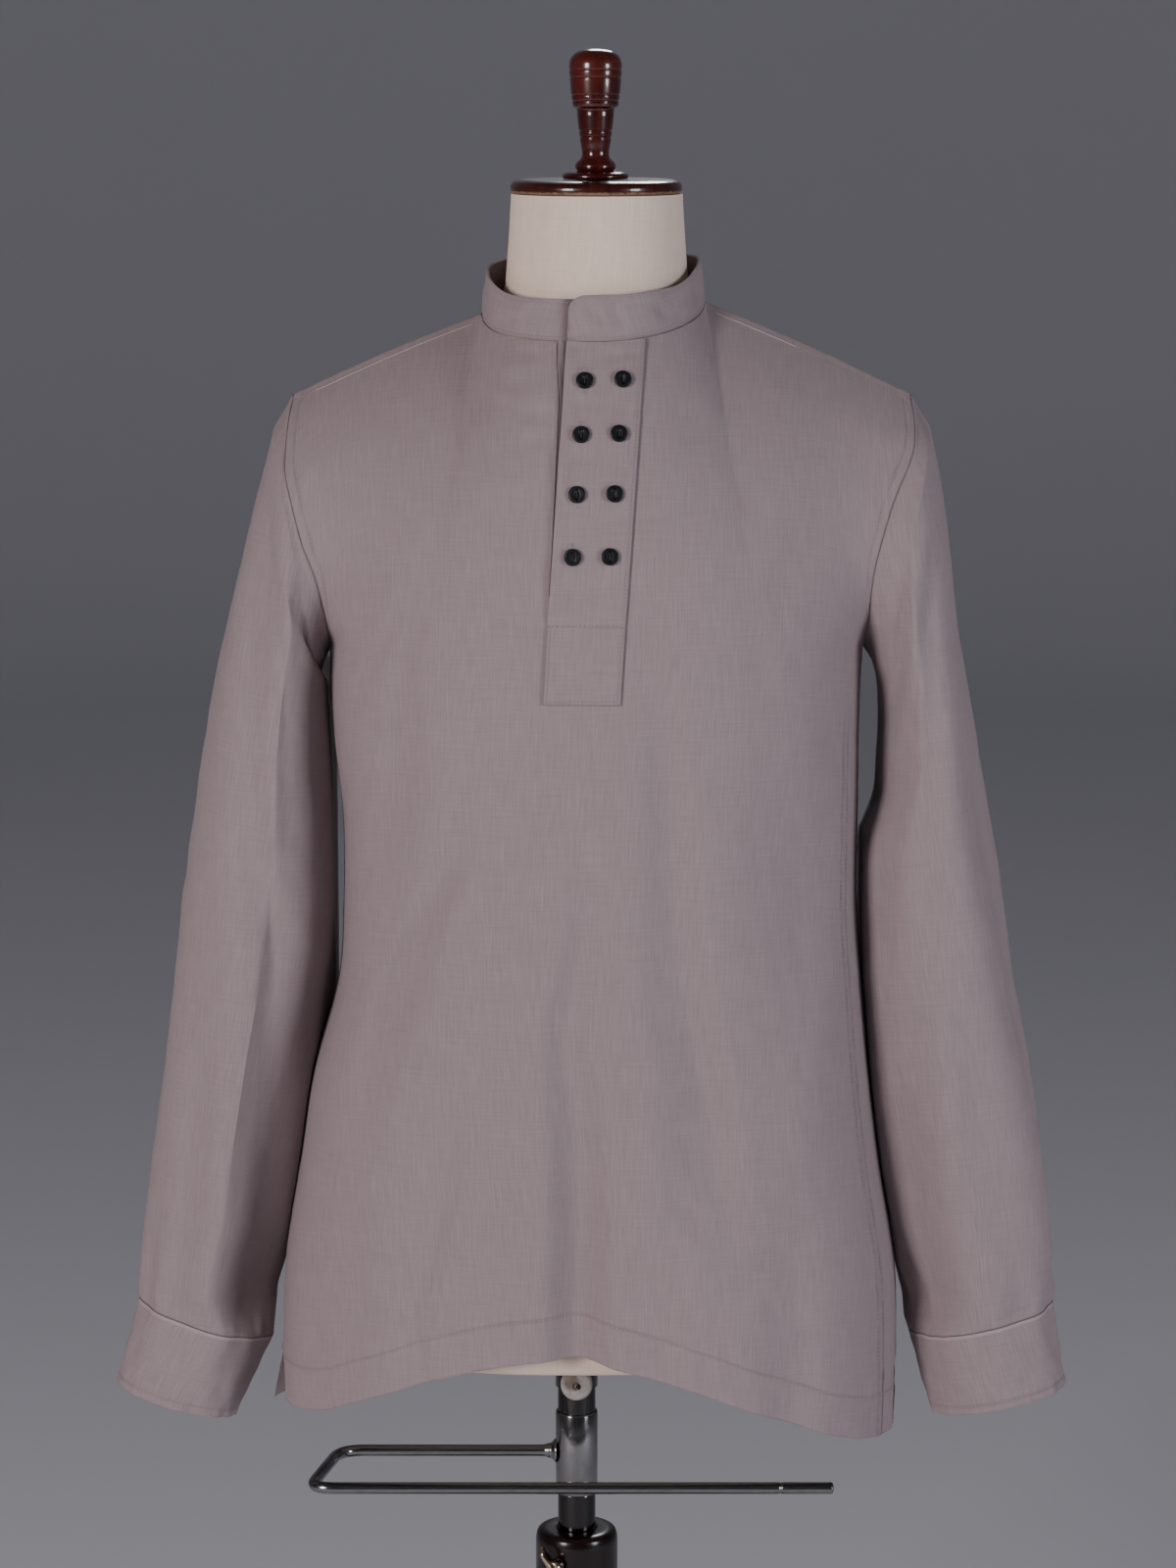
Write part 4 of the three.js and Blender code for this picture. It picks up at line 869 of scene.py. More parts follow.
def ring_points(values, angle, inward, flat=0.0):
    """A level ring of a sleeve; flat, from 0 to 1, straightens its quarter between the front and the body."""
    out_x, out_z, in_x, in_z, near, far = values
    reach_x, reach_z, depth = (out_x - in_x) / 2, (out_z - in_z) / 2, (far - near) / 2
    share = 1 - inward / np.hypot(reach_x, depth)
    across, forward = np.cos(angle), np.sin(angle)
    power = 1 + 0.6 * flat * ((across < 0) & (forward > 0))
    across, forward = np.sign(across) * np.abs(across) ** power, np.sign(forward) * np.abs(forward) ** power
    behind = 30 * np.clip(-across, 0, 1) ** 2 * flat
    return points((out_x + in_x) / 2 + reach_x * across * share,
                  (near + far) / 2 - depth * forward * share + behind,
                  (out_z + in_z) / 2 + reach_z * across * share)


def armhole_ring(side, angle):
    w = (1 - np.cos(angle)) / 2
    ring = np.where((angle < math.pi)[..., None], armhole_point("front", side, w), armhole_point("back", side, w))
    return ring + np.array([SIDES[side]["sign"] * SLEEVE_GAP, 0, 0])


def sleeve_folds(folds, angle, at, radius):
    total = 0
    for first, last, degrees, turn, width, depth in folds:
        middle = np.radians(degrees + turn * (at - first))
        off = ((angle - middle + math.pi) % (2 * math.pi) - math.pi) * radius / width
        end = smooth((at - first + 0.5) / 1.5) * smooth((last - at + 0.6) / 1.5)
        total = total + depth * end * (bump(off) - LIP * (bump((off - 2) / 0.9) + bump((off + 2) / 0.9)))
    return total


def sleeve_surface(side, angle, at):
    table, sign = SLEEVES[side], SIDES[side]["sign"]
    inside = np.maximum(at, 1)
    values = [table(name, inside) for name in SLEEVE_NAMES.split()[1:]]
    first, last, push = LEAN[side]
    values[2] = values[2] - sign * push * smooth((inside - first) / 1.5) * smooth((last - inside) / 1.5)
    radius = (values[5] - values[4] + np.abs(values[0] - values[2])) / 4
    inward = sleeve_folds(SLEEVE_FOLDS[side], angle, inside, radius)
    inward = inward + sleeve_folds(SLEEVE_CREASES[side], angle, inside, radius)
    seed = 71 if side == "left" else 81
    around, along = np.cos(angle) * 60, at * 50
    sideways = np.sin(angle) * 60
    worn = smooth((at - 1.5) / 3)
    inward = inward + worn * (1.3 * waves(around, along, seed, 6, 190, 60, 0.35)
                              + 1.1 * waves(sideways, along, seed + 1, 6, 150, 44, 0.5)
                              + 0.45 * waves(around + sideways, along, seed + 2, 6, 60, 20, 1.1))
    elbow = bump((at - 7.2) / 1.3)
    inward = inward + elbow * 0.8 * waves(along, around + 0.6 * sideways, seed + 3, 5, 60, 26, 0.5)
    flat = FLATTENED[side] * smooth((inside - 1) / 2.5) * smooth((13.2 - inside) / 2)
    ring = ring_points(values, angle, inward, flat)
    seam = armhole_ring(side, angle)
    least = sign * seam[..., 0] + SLEEVE_START * inside * (1 - smooth(inside / 5))
    ring[..., 0] = sign * np.maximum(sign * ring[..., 0], least)
    start = np.clip(at, 0, 1)
    return lerp(seam, ring, (start * (0.55 + 0.45 * start))[..., None])


def sleeve_cloth(side):
    at = np.concatenate([[0, .012, .035, .07, .12, .18, .24, .3], spaced(.36, 12.75, .072),
                         [12.82, 12.88, 12.93, 12.97, SLEEVE_END]])
    angles = np.arange(SLEEVE_COLS) * 2 * math.pi / SLEEVE_COLS
    angle, ring = np.meshgrid(angles, at)
    grid = sleeve_surface(side, angle, ring)
    if side == "right":
        grid = grid[:, ::-1]
    cloth = Cloth(grid, at, np.arange(SLEEVE_COLS, dtype=float), closed=True)
    top, bottom = cloth.from_edge("top"), cloth.from_edge("bottom")
    along = np.broadcast_to(cloth.cols * 3.4, top.shape)
    seed = 91 if side == "left" else 96
    relief = 0.5 * bump((top - 2.6) / 2.6) + 0.3 * waves(along, top, seed, 6, 42, 11, 0.4) * bump((top - 4) / 7)
    gathered = bump(bottom / 16) * smooth(bottom / 2.5)
    relief = relief + 0.9 * waves(along, bottom, seed + 1, 7, 46, 12, 0.15) * gathered
    cloth.push(relief)
    column = front.grid[:, 0 if side == "left" else -1]
    sign = SIDES[side]["sign"]
    x, y, z = np.moveaxis(cloth.grid, -1, 0)
    side_x, middle = np.interp(z, column[::-1, 2], column[::-1, 0]), SECTIONS("mid", z)
    deep = np.where(y < SIDE_Y, SECTIONS("front", z), SECTIONS("back", z)) - SIDE_Y
    fall = np.clip((y - SIDE_Y) / deep, 0, 0.95)
    body_side = middle + (side_x - middle) * (1 - fall**SQUARE) ** (1 / SQUARE)
    room = sign * (x - body_side) - 1.2
    kept = 1.2 * np.log1p(np.exp(np.clip(room / 1.2, -40, 40)))
    low = smooth((cloth.grid[..., 2] - column[-1, 2]) / 8) * smooth(top / 12)
    cloth.grid[..., 0] += sign * (kept - room) * low * (room < 12)
    cloth.set(cloth.grid)
    head = cloth.grid[0]
    inwards = unit(head.mean(0) - head) * 1.5
    under_panel = np.array([-sign * 1.5, 0, 0])
    tucked = np.stack([head + inwards * 1.9 + under_panel, head + inwards])
    whole = Cloth(np.concatenate([tucked, cloth.grid]), np.concatenate([[-.02, -.01], at]), cloth.cols, closed=True)
    # Painted shade over the tucked flap and along the armhole seam, and along the sleeve's bottom edge where the
    # cuff meets it
    whole.paint_shade_line(np.maximum(whole.from_edge("top") - whole.down[2], 0), 0.65, 0.6)
    whole.paint_shade_line(whole.from_edge("bottom"), 0.45, 0.6)
    return whole


def cuff_cloth(side):
    """The cuff's band: from the sleeve's last ring down to its bottom ring."""
    angles = np.arange(SLEEVE_COLS) * 2 * math.pi / SLEEVE_COLS
    bottom = ring_points(CUFFS[side], angles, 0 * angles)
    top = sleeve_surface(side, angles, np.full(SLEEVE_COLS, float(SLEEVE_END)))
    if side == "right":
        bottom, top = bottom[::-1], top[::-1]
    share = np.concatenate([[0.006, .016, .034, .06, .09], spaced(.13, .87, .045), [.91, .94, .965, .985, 1]])
    grid = lerp(top[None], bottom[None], share[:, None, None])
    cloth = Cloth(grid, share, np.arange(SLEEVE_COLS, dtype=float), closed=True)
    upper, lower = cloth.from_edge("top"), cloth.from_edge("bottom")
    along = np.broadcast_to(cloth.cols * 2.2, upper.shape)
    seed = 101 if side == "left" else 106
    between = np.sin(math.pi * np.clip(share, 0, 1))[:, None]
    relief = (0.5 * waves(along, upper, seed, 7, 70, 14, 0.5) * between
              - 0.3 * bump((upper - 2.4) / 0.9) - 0.3 * bump((lower - CUFF_STITCH) / 1.0)
              + 1.1 * waves(along, lower, seed + 1, 7, 34, 8, 0.2) * bump(lower / 8)
              + 0.6 * waves(upper, along, seed + 2, 5, 40, 14, 0.6) * between)
    cloth.push(relief + 0.35)
    # Painted shade along the cuff's top seam, its stitch row and its bottom edge, and a painted highlight just
    # below its top edge
    for away, amount in ((upper, 0.25), (lower - CUFF_STITCH, 0.22), (lower, 0.2)):
        cloth.paint_shade_line(away, amount, 0.5)
    cloth.shade = cloth.shade - 0.8 * bump((upper - 1.2) / 0.8)
    return cloth


sleeves = {side: sleeve_cloth(side) for side in SIDES}
cuffs = {side: cuff_cloth(side) for side in SIDES}
sleeve_pieces = {side: shell(f"kurta_sleeve_{side}", cloth.grid, cloth.grid - cloth.normals * 0.75,
                             sleeve_uv(cloth, side), closed=True, shade=cloth.shade)
                 for side, cloth in sleeves.items()}
cuff_pieces = {side: shell(f"kurta_cuff_{side}", cloth.grid, cloth.grid - cloth.normals * WALLS["cuff"],
                           cloth_uv(cloth, 1), closed=True, shade=cloth.shade)
               for side, cloth in cuffs.items()}


# Collar

def neckline(angle):
    in_front = np.cos(angle) > 0
    left = np.sin(angle) < 0
    climb = np.where(in_front, np.where(left, SIDES["left"]["climb"], SIDES["right"]["climb"]), 1)
    neck_z = np.where(left, SIDES["left"]["neck_z"], SIDES["right"]["neck_z"])
    z = lerp(np.where(in_front, NECK["front"], NECK["back"]), neck_z, (1 - np.abs(np.cos(angle))) ** climb)
    return points(NECK["x"] + NECK["half_width"] * np.sin(angle), NECK["y"] - NECK["half_depth"] * np.cos(angle), z)


def neck_angle(x):
    return math.asin((x - NECK["x"]) / NECK["half_width"])


collar_middle = neck_angle(PLACKET["x"])
collar_end = neck_angle(PLACKET["x"] - PLACKET["half"])


def collar_cloth():
    whole = 2 * math.pi + collar_middle - collar_end
    first = np.array([0, .5, 1.1, 1.9, 3, 4.4, 6, 8, 10]) / NECK["half_depth"]
    angle = collar_end + np.concatenate([first, spaced(first[-1] + .034, whole, .034)])
    up = np.concatenate([[1, .975, .945, .905, .86], spaced(.8, .2, .075), [.14, .09, .055, .025, 0]])
    place, share = np.meshgrid(angle, up)
    outwards = points(np.sin(place), -np.cos(place), 0 * place)
    lapped = 1 - smooth((place - collar_middle - 0.1) / 0.5)
    stand = DOUBLED + SEAM + 2.0 * share * (1 - smooth((place - collar_end) * 4))
    foot = neckline(place) + outwards * (lapped * stand)[..., None]
    height = lerp(COLLAR["front"], COLLAR["back"], (1 - np.cos(place)) / 2)
    from_end = (place - collar_end) * NECK["half_depth"]
    corner = np.clip(COLLAR["round"] - from_end, 0, COLLAR["round"])
    top = height - COLLAR["round"] + np.sqrt(COLLAR["round"] ** 2 - corner**2)
    top = top + 0.8 * waves(from_end, 0, 112, 5, 150, 40, 0) * smooth(from_end / 20)
    top = top + 3.4 * (1 - smooth((from_end - 22) / 52))
    lean = COLLAR["lean"] * share - 1.6 * np.sin(math.pi * share) * waves(from_end, 0 * share, 113, 5, 120, 36, 0)
    grid = foot - outwards * lean[..., None] + points(0, 0, SEAM + top * share)
    cloth = Cloth(grid, np.arange(len(up), dtype=float), angle)
    relief = 0.2 * waves(cloth.across, cloth.down, 114, 7, 46, 10, 0.7)
    relief = relief - crease_depth(COLLAR_CREASES, from_end, share * COLLAR["front"])
    for edge in ("top", "bottom", "left"):
        away = cloth.from_edge(edge)
        relief = relief - 0.28 * bump((away - 2.2) / 0.8) - 0.35 * bump(away / 0.7)
    cloth.push(relief)
    # Painted shade along the collar's edges and stitch rows, and a painted shadow on the part under the lapped end,
    # next to that end's edge
    for edge, amount in (("top", 0.2), ("bottom", 0.7), ("left", 0.8)):
        cloth.paint_shade_line(cloth.from_edge(edge), amount, 0.6)
        cloth.paint_shade_line(cloth.from_edge(edge) - 2.2, 0.2, 0.6)
    covered = 2 * math.pi + collar_end
    cloth.shade = np.maximum(cloth.shade, 0.6 * smooth((place - covered + 0.09) / 0.09))
    return cloth


collar = collar_cloth()
collar_piece = shell("kurta_collar", collar.grid, collar.grid - collar.normals * WALLS["collar"],
                     cloth_uv(collar, len(collar.rows) - 1), shade=collar.shade)


# Buttons: a broad raised rim round a pointed oval hollow, with two holes and a thread in it

def button_frames():
    for row, z in enumerate(BUTTON["heights"]):
        for offset, side in zip(BUTTON["across"], ("left", "right")):
            c, t = offset / PLACKET["half"], float(height_to_t(z))
            place = over.at([c], [t])[0]
            right = unit(over.at([c + .1], [t])[0] - over.at([c - .1], [t])[0])
            down = over.at([c], [t + .01])[0] - over.at([c], [t - .01])[0]
            out = unit(np.cross(down, right))
            yield f"button_{row + 1}_{side}", place, right, np.cross(out, right), out, row * 2 + (side == "right")


def button_piece(name, place, right, up, out, number):
    dice = np.random.default_rng(300 + number)
    tilt = dice.normal(0, 0.05, 2)
    out = unit(out + tilt[0] * right + tilt[1] * up)
    right = unit(right - out * (right @ out))
    up = np.cross(out, right)
    radii = np.array([0, .08, .16, .24, .32, .4, .5, .6, .7, .79, .87, .93, .97, 1, .985, .93, .8, 0])
    heights = np.array([1, 1, 1, 1, 1, 1, 1, 1, 1, 1.0, .97, .9, .78, .55, .25, .08, 0, 0])
    top_rings = 11
    angle = np.arange(48) * 2 * math.pi / 48
    r, a = np.meshgrid(radii, angle, indexing="ij")
    x, y = r * np.cos(a), r * np.sin(a)
    z = np.repeat(heights[:, None], 48, 1) * BUTTON["thick"]
    dish = 0.34 * bump(r / 0.52)
    oval = np.clip(1 - (np.abs(x) / (0.25 * np.sqrt(np.clip(1 - (y / 0.62) ** 2, 1e-4, 1)))) ** 2, 0, 1)
    hollow = 1.05 * np.sqrt(oval) * (np.abs(y) < 0.62)
    z = z - np.where(np.arange(len(radii))[:, None] < top_rings, dish + hollow, 0)
    x, y, z = x * BUTTON["radius"], y * BUTTON["radius"], z + 0.45
    vertices = place + x[..., None] * right + y[..., None] * up + z[..., None] * out
    faces = []
    for i in range(1, len(radii) - 2):
        for j in range(48):
            k = (j + 1) % 48
            faces.append((i * 48 + j, (i + 1) * 48 + j, (i + 1) * 48 + k, i * 48 + k))
    vertices = np.concatenate([vertices.reshape(-1, 3), vertices[0, :1], vertices[-1, :1]])
    centre, foot = len(vertices) - 2, len(vertices) - 1
    last = (len(radii) - 2) * 48
    for j in range(48):
        k = (j + 1) % 48
        faces += [(centre, 48 + j, 48 + k), (foot, last + k, last + j)]
    used, flat = np.unique([i for f in faces for i in f], return_inverse=True)
    lengths, start = [len(f) for f in faces], 0
    tidy = []
    for length in lengths:
        tidy.append(tuple(int(i) for i in flat[start:start + length]))
        start += length
    return new_object(f"{name}_disc", vertices[used], tidy, sharp=35)


button_pieces = {name: button_piece(name, *rest) for name, *rest in button_frames()}


# Rings of points joined into skins, for the form and for what is turned on a lathe

def ring_skin(name, rings, cap_top=None, cap_bottom=None, sharp=50):
    """A skin over rings of equal length, closed round, with each end drawn to a point where one is given."""
    rings = np.asarray(rings, float)
    height, width = rings.shape[:2]
    wide = np.concatenate([rings, rings[:, :1]], 1)
    uv = np.stack([running(wide, 1), -running(wide, 0)], -1) * MM
    vertices, faces, uvs = [tuple(p) for p in rings.reshape(-1, 3)], [], []
    for r in range(height - 1):
        for c in range(width):
            d = (c + 1) % width
            faces.append((r * width + c, (r + 1) * width + c, (r + 1) * width + d, r * width + d))
            uvs += [uv[r, c], uv[r + 1, c], uv[r + 1, c + 1], uv[r, c + 1]]
    for r, tip, flip in ((0, cap_top, True), (height - 1, cap_bottom, False)):
        if tip is None:
            continue
        vertices.append(tuple(tip))
        for c in range(width):
            d = (c + 1) % width
            pair = ((c, uv[r, c]), (d, uv[r, c + 1]))
            first, second = pair if flip else pair[::-1]
            faces.append((len(vertices) - 1, r * width + first[0], r * width + second[0]))
            uvs += [uv[r, c], first[1], second[1]]
    return new_object(name, vertices, faces, uvs, sharp)


def weld(made, distance):
    work = bmesh.new()
    work.from_mesh(made.data)
    bmesh.ops.remove_doubles(work, verts=work.verts, dist=distance * MM)
    bmesh.ops.dissolve_degenerate(work, edges=work.edges, dist=distance * MM / 4)
    work.to_mesh(made.data)
    work.free()


def join(name, parts):
    """One object with the meshes of several, which it replaces."""
    work = bmesh.new()
    for part in parts:
        work.from_mesh(part.data)
    mesh = bpy.data.meshes.new(name)
    work.to_mesh(mesh)
    work.free()
    for part in parts:
        bpy.data.objects.remove(part)
    made = bpy.data.objects.new(name, mesh)
    bpy.context.scene.collection.objects.link(made)
    return made


def turned_part(name, outline, centre=(0, 0), segments=112, sharp=50):
    """A lathe shape: the outline runs from the top of the axis down the outside, as (radius, height)."""
    outline = np.asarray(outline, float)
    angle = np.arange(segments) * 2 * math.pi / segments
    closed_top, closed_bottom = outline[0, 0] == 0, outline[-1, 0] == 0
    middle = outline[(1 if closed_top else 0):(-1 if closed_bottom else None)]
    rings = points(centre[0] + middle[:, :1] * np.cos(angle), centre[1] + middle[:, :1] * np.sin(angle),
                   middle[:, 1:])
    top = (*centre, outline[0, 1]) if closed_top else None
    bottom = (*centre, outline[-1, 1]) if closed_bottom else None
    return ring_skin(name, rings, top, bottom, sharp)


def rounded(outline, radius, steps=5):
    """An outline whose inner corners are rounded off."""
    outline = np.asarray(outline, float)
    made = [outline[0]]
    for before, corner, after in zip(outline[:-2], outline[1:-1], outline[2:]):
        reach = min(radius, np.linalg.norm(before - corner) * 0.45, np.linalg.norm(after - corner) * 0.45)
        a, b = corner + unit(before - corner) * reach, corner + unit(after - corner) * reach
        for t in np.linspace(0, 1, steps):
            made.append(lerp(lerp(a, corner, t), lerp(corner, b, t), t))
    made.append(outline[-1])
    return np.array(made)


# Form: the body's plain form drawn in under the cloth, with its neck, arm plates and underside

FORM = {"x": 14, "y": -7, "top": 1402, "bottom": 612, "bulge": 5, "bore": 15.3}
NECK_RADIUS = Table("z radius", [(1342, 61.5), (1368, 59.5), (1390, 58.1), (1402, 57.5)])


def form_piece():
    k = np.concatenate([spaced(0, 1, .25), spaced(1.3, HALF_COLS, .32)])
    cols = np.concatenate([-k[:0:-1], k])
    t = np.concatenate([[0, .004, .012, .03, .06], spaced(.1, 1, .035), spaced(1.03, 2, .03)])
    c, rows = np.meshgrid(cols, t)
    halves = []
    for face, places in (("front", c), ("back", -c)):
        low = lerp(chest_height(np.abs(places)), FORM["bottom"], np.clip(rows - 1, 0, 1))
        grid = body_point(face, places, rows, low)
        normal = normals_of(grid)
        inset = lerp(FORM_INSET("face", grid[..., 2]), FORM_INSET("side", grid[..., 2]), normal[..., 0] ** 2)
        inset = inset + 3.2 * smooth((np.abs(c) - 8) / 5) * smooth((1.15 - rows) / 0.25)
        halves.append(grid - normal * (PANEL_DEPTH + inset + 0.15)[..., None])
    near, far = halves[0], halves[1][:, ::-1]
    meet = (np.abs(c) == HALF_COLS) & (rows >= 1) | (rows == 0) & (np.abs(c) > NECK_END)
    shared = (near + far) / 2
    near, far = np.where(meet[..., None], shared, near), np.where(meet[..., None], shared, far)
    far = far[:, ::-1]
    fill = []
    for share in (0.15, 0.32, 0.5, 0.68, 0.85):
        bulge = FORM["bulge"] * np.sin(math.pi * np.clip(t, 0, 1)) * math.sin(math.pi * share)
        fill.append((share, bulge))
    right = [lerp(near[:, -1], far[:, 0], s) + points(b, 0, 0) for s, b in fill]
    left = [lerp(far[:, -1], near[:, 0], s) - points(b, 0, 0) for s, b in fill]
    torso = np.concatenate([near, np.stack(right, 1), far, np.stack(left, 1)], 1)
    low = torso[-1]
    under_ring = low * np.array([0.975, 0.965, 0]) + np.array([0, 0, FORM["bottom"] - 3.5])
    flat_ring = low * np.array([0.94, 0.92, 0]) + np.array([0, 0, FORM["bottom"] - 5])
    direction = unit(low * np.array([1, 1, 0]))
    bore = direction * FORM["bore"]
    rings = [*torso, under_ring, flat_ring, bore + np.array([0, 0, FORM["bottom"] - 5]),
             bore + np.array([0, 0, 656])]
    body = ring_skin("form_skin", rings, None, (0, 0, 656), sharp=50)
    inner = np.abs(cols) <= NECK_END
    loop = np.concatenate([near[0][inner][:-1], far[0][inner][:-1]])
    towards = unit((loop - np.array([FORM["x"], FORM["y"], 0])) * np.array([1, 1, 0]))
    heights = np.concatenate([[FORM["top"], FORM["top"] - 1.5], spaced(FORM["top"] - 5, 1342, 6)])
    axis = np.array([FORM["x"], FORM["y"], 0])
    neck = [axis + towards * NECK_RADIUS("radius", z) + np.array([0, 0, z]) for z in heights]
    for share in (0.2, 0.4, 0.6, 0.8):
        curve = share**1.5
        neck.append(neck[len(heights) - 1] * np.array([1 - curve, 1 - curve, 1 - share])
                    + loop * np.array([curve, curve, share]))
    throat = ring_skin("form_neck", [*neck, loop], (FORM["x"], FORM["y"], FORM["top"]), None, sharp=50)
    made = join("form_cover", [body, throat])
    weld(made, 0.05)
    made.data.shade_smooth()
    made.data.set_sharp_from_angle(angle=math.radians(60))
    return made


form_cover = form_piece()


# Turned wood: cap and finial, column and base

CAP = {"x": 13.5, "y": -7, "low": 1402.3, "radius": 57.5}
FINIAL_LOW = 1412.2


def grooved(profile, grooves, depth=0.55, width=0.55, step=0.35):
    """A smooth turned profile with fine grooves cut round it, from the top down."""
    z = np.arange(profile.rows[0, 0], profile.rows[-1, 0] + step / 2, step)
    radius = profile("radius", z)
    for at in grooves:
        radius = radius - depth * bump((z - at) / width)
    return [(r, h) for r, h in zip(radius[::-1], z[::-1])]


cap_z = CAP["low"]
cap_outline = rounded([(0, cap_z + 9.6), (51, cap_z + 9.2), (56, cap_z + 7.6), (57.5, cap_z + 5),
                       (57.3, cap_z + 1.6), (55.2, cap_z), (0, cap_z)], 2.2)
cap_piece = turned_part("cap_turned", cap_outline, (CAP["x"], CAP["y"]), 144)

knob_shape = Table("z radius", [
    (11.6, 11.4), (13.6, 9.7), (17, 9.1), (24, 10.2), (32.5, 11.3), (41, 12.3), (46.2, 12.9), (47.4, 14.9),
    (52, 15.9), (56.4, 16.5), (66, 17.3), (73, 17.7), (78, 17.0), (81.5, 14.6), (84, 10.4), (85.1, 5.2), (85.4, .6),
])
finial_foot = [(12.2, 11.0), (13.4, 9.4), (13.7, 7.6), (13.1, 6.0), (12, 5.0), (13.6, 4.5), (18.5, 4.1),
               (21.2, 3.2), (22.3, 2.0), (22.0, .4), (21.4, 0), (0, 0)]
finial_outline = [(0, 85.45)] + grooved(knob_shape, (71.7, 66.5, 55, 51, 31.3, 27.1)) + finial_foot
finial_piece = turned_part("finial_turned", [(r, z + FINIAL_LOW) for r, z in finial_outline],
                           (CAP["x"] - 0.5, CAP["y"]), 112, sharp=75)

COLUMN = {"radius": 29, "bore": 13.6, "low": 25.3, "top": 466, "floor": 40}
column_outline = rounded([
    (COLUMN["bore"], COLUMN["floor"]), (COLUMN["bore"], COLUMN["top"] - 1), (14.6, COLUMN["top"]),
    (23, COLUMN["top"]), (27.6, COLUMN["top"] - 1.6), (29, COLUMN["top"] - 7),
    (29, COLUMN["low"] + 30), (29, COLUMN["low"]),
    (0, COLUMN["low"]),
], 3.0)
column_piece = turned_part("column_turned", [(0, COLUMN["floor"])] + list(column_outline), segments=128)

base_outline = rounded([
    (0, 25), (46, 25), (60, 22.6), (120, 21.6), (168, 20.2), (176, 17.6), (180, 13), (180, 3.4),
    (177.5, 0), (0, 0),
], 4)
base_piece = turned_part("base_turned", base_outline, segments=160)


# Metal: pole, socket collar and its knob, trouser bar, thumb screw

POLE = {"radius": 13.25, "low": 66, "top": 646}
pole_piece = turned_part("pole_tube", rounded([(0, POLE["top"]), (POLE["radius"], POLE["top"]),
                                               (POLE["radius"], POLE["low"]), (0, POLE["low"])], .8), segments=96)


def tube_outline(outer, inner, low, top, edge=0.9):
    e = edge
    return [(inner, low + 2), (inner, top - e), (inner + e * .4, top), (outer - e, top),
            (outer - e * .3, top - e * .3), (outer, top - e), (outer, low + e), (outer - e * .3, low + e * .3),
            (outer - e, low), (inner + e * .4, low), (inner, low + e), (inner, low + 2)]


socket_piece = turned_part("socket_tube", tube_outline(14.9, 13.6, 570, 652), segments=96)
bar_sleeve = turned_part("bar_sleeve", tube_outline(14.8, 13.6, 492, 552, 1.2), segments=96)

ROD = {"z": 522, "radius": 4.1, "reach": 79, "back": -167, "front": -184, "bend": 17, "end": 177}


def tube_along(name, path, radius, segments=28):
    """A round bar along a path of points; radius may change from point to point."""
    path = np.asarray(path, float)
    ahead = unit(np.gradient(path, axis=0))
    side = unit(np.cross(ahead, [0, 0, 1.0]))
    over_side = np.cross(side, ahead)
    angle = np.arange(segments) * 2 * math.pi / segments
    radius = np.broadcast_to(radius, (len(path),))[:, None, None]
    rings = path[:, None] + radius * (np.cos(angle)[None, :, None] * side[:, None]
                                      + np.sin(angle)[None, :, None] * over_side[:, None])
    return ring_skin(name, rings, path[0] - ahead[0] * .01, path[-1] + ahead[-1] * .01)


def rod_path():
    """From the sleeve to the left, round two bends and back to the right in front of the pole."""
    corners = np.array([(-14.2, 0, ROD["z"]), (ROD["back"], 0, ROD["z"]), (ROD["front"], -ROD["reach"], ROD["z"]),
                        (ROD["end"], -ROD["reach"], ROD["z"])], float)
    path = [corners[:1]]
    for before, corner, after in zip(corners, corners[1:], corners[2:]):
        into = corner + unit(before - corner) * ROD["bend"]
        out_of = corner + unit(after - corner) * ROD["bend"]
        s = np.linspace(0, 1, 16)[:, None]
        path.append(lerp(lerp(into, corner, s), lerp(corner, out_of, s), s))
    return np.concatenate([*path, corners[-1:]])


def rod_radius(path):
    """The bar's own radius, with its ends rounded, a weld at the sleeve and a ring groove near the free end."""
    along = running(path[None], 1)[0]
    left = along[-1] - along
    radius = ROD["radius"] * np.sqrt(np.clip(1 - np.clip(1 - left / 1.6, 0, 1) ** 2 * .8, 0.02, 1))
    weld_bead = 4.6 * np.exp(-np.clip(along - 1.2, 0, None) / 2.3) + 0.5 * bump((along - 6) / 1.2)
    return radius + weld_bead - 0.55 * bump((left - 36.5) / 0.75)


def fine_rod_path():
    """The bar's path in even steps, finer at the weld, the ring groove and the free end."""
    path = rod_path()
    along = running(path[None], 1)[0]
    whole = along[-1]
    at = np.unique(np.concatenate([np.arange(0, whole, 1.7), spaced(0, 14, .8), whole - spaced(34, 39, .3),
                                   whole - spaced(0, 2, .2)]))
    return np.stack([np.interp(at, along, path[:, i]) for i in range(3)], -1)


rod_line = fine_rod_path()
rod_bar = tube_along("rod_bar", rod_line, rod_radius(rod_line))
trouser_bar = join("trouser_bar_bent", [bar_sleeve, rod_bar])
trouser_bar.data.set_sharp_from_angle(angle=math.radians(50))


def faced(made, angle, z):
    """Turns a part that was made on the vertical axis so that its top points out at the front."""
    co = np.zeros(len(made.data.vertices) * 3)
    made.data.vertices.foreach_get("co", co)
    x, y, up = co.reshape(-1, 3).T / MM
    x, y, up = x, -up, y
    co = points(x * math.cos(angle) - y * math.sin(angle), x * math.sin(angle) + y * math.cos(angle), up + z)
    made.data.vertices.foreach_set("co", (co * MM).ravel())
    made.data.update()
    return made


knob_piece = faced(turned_part("knob_round", rounded([
    (0, 24.3), (1.6, 24.3), (1.7, 23.0), (2.6, 23.0), (2.7, 24.5), (9.2, 24.3), (10.6, 23.2), (11.1, 21.2),
    (11.1, 16.4), (10.2, 15.5), (2.5, 15.5), (2.5, 13.6), (0, 13.6)], .5), segments=64), 0, 577)


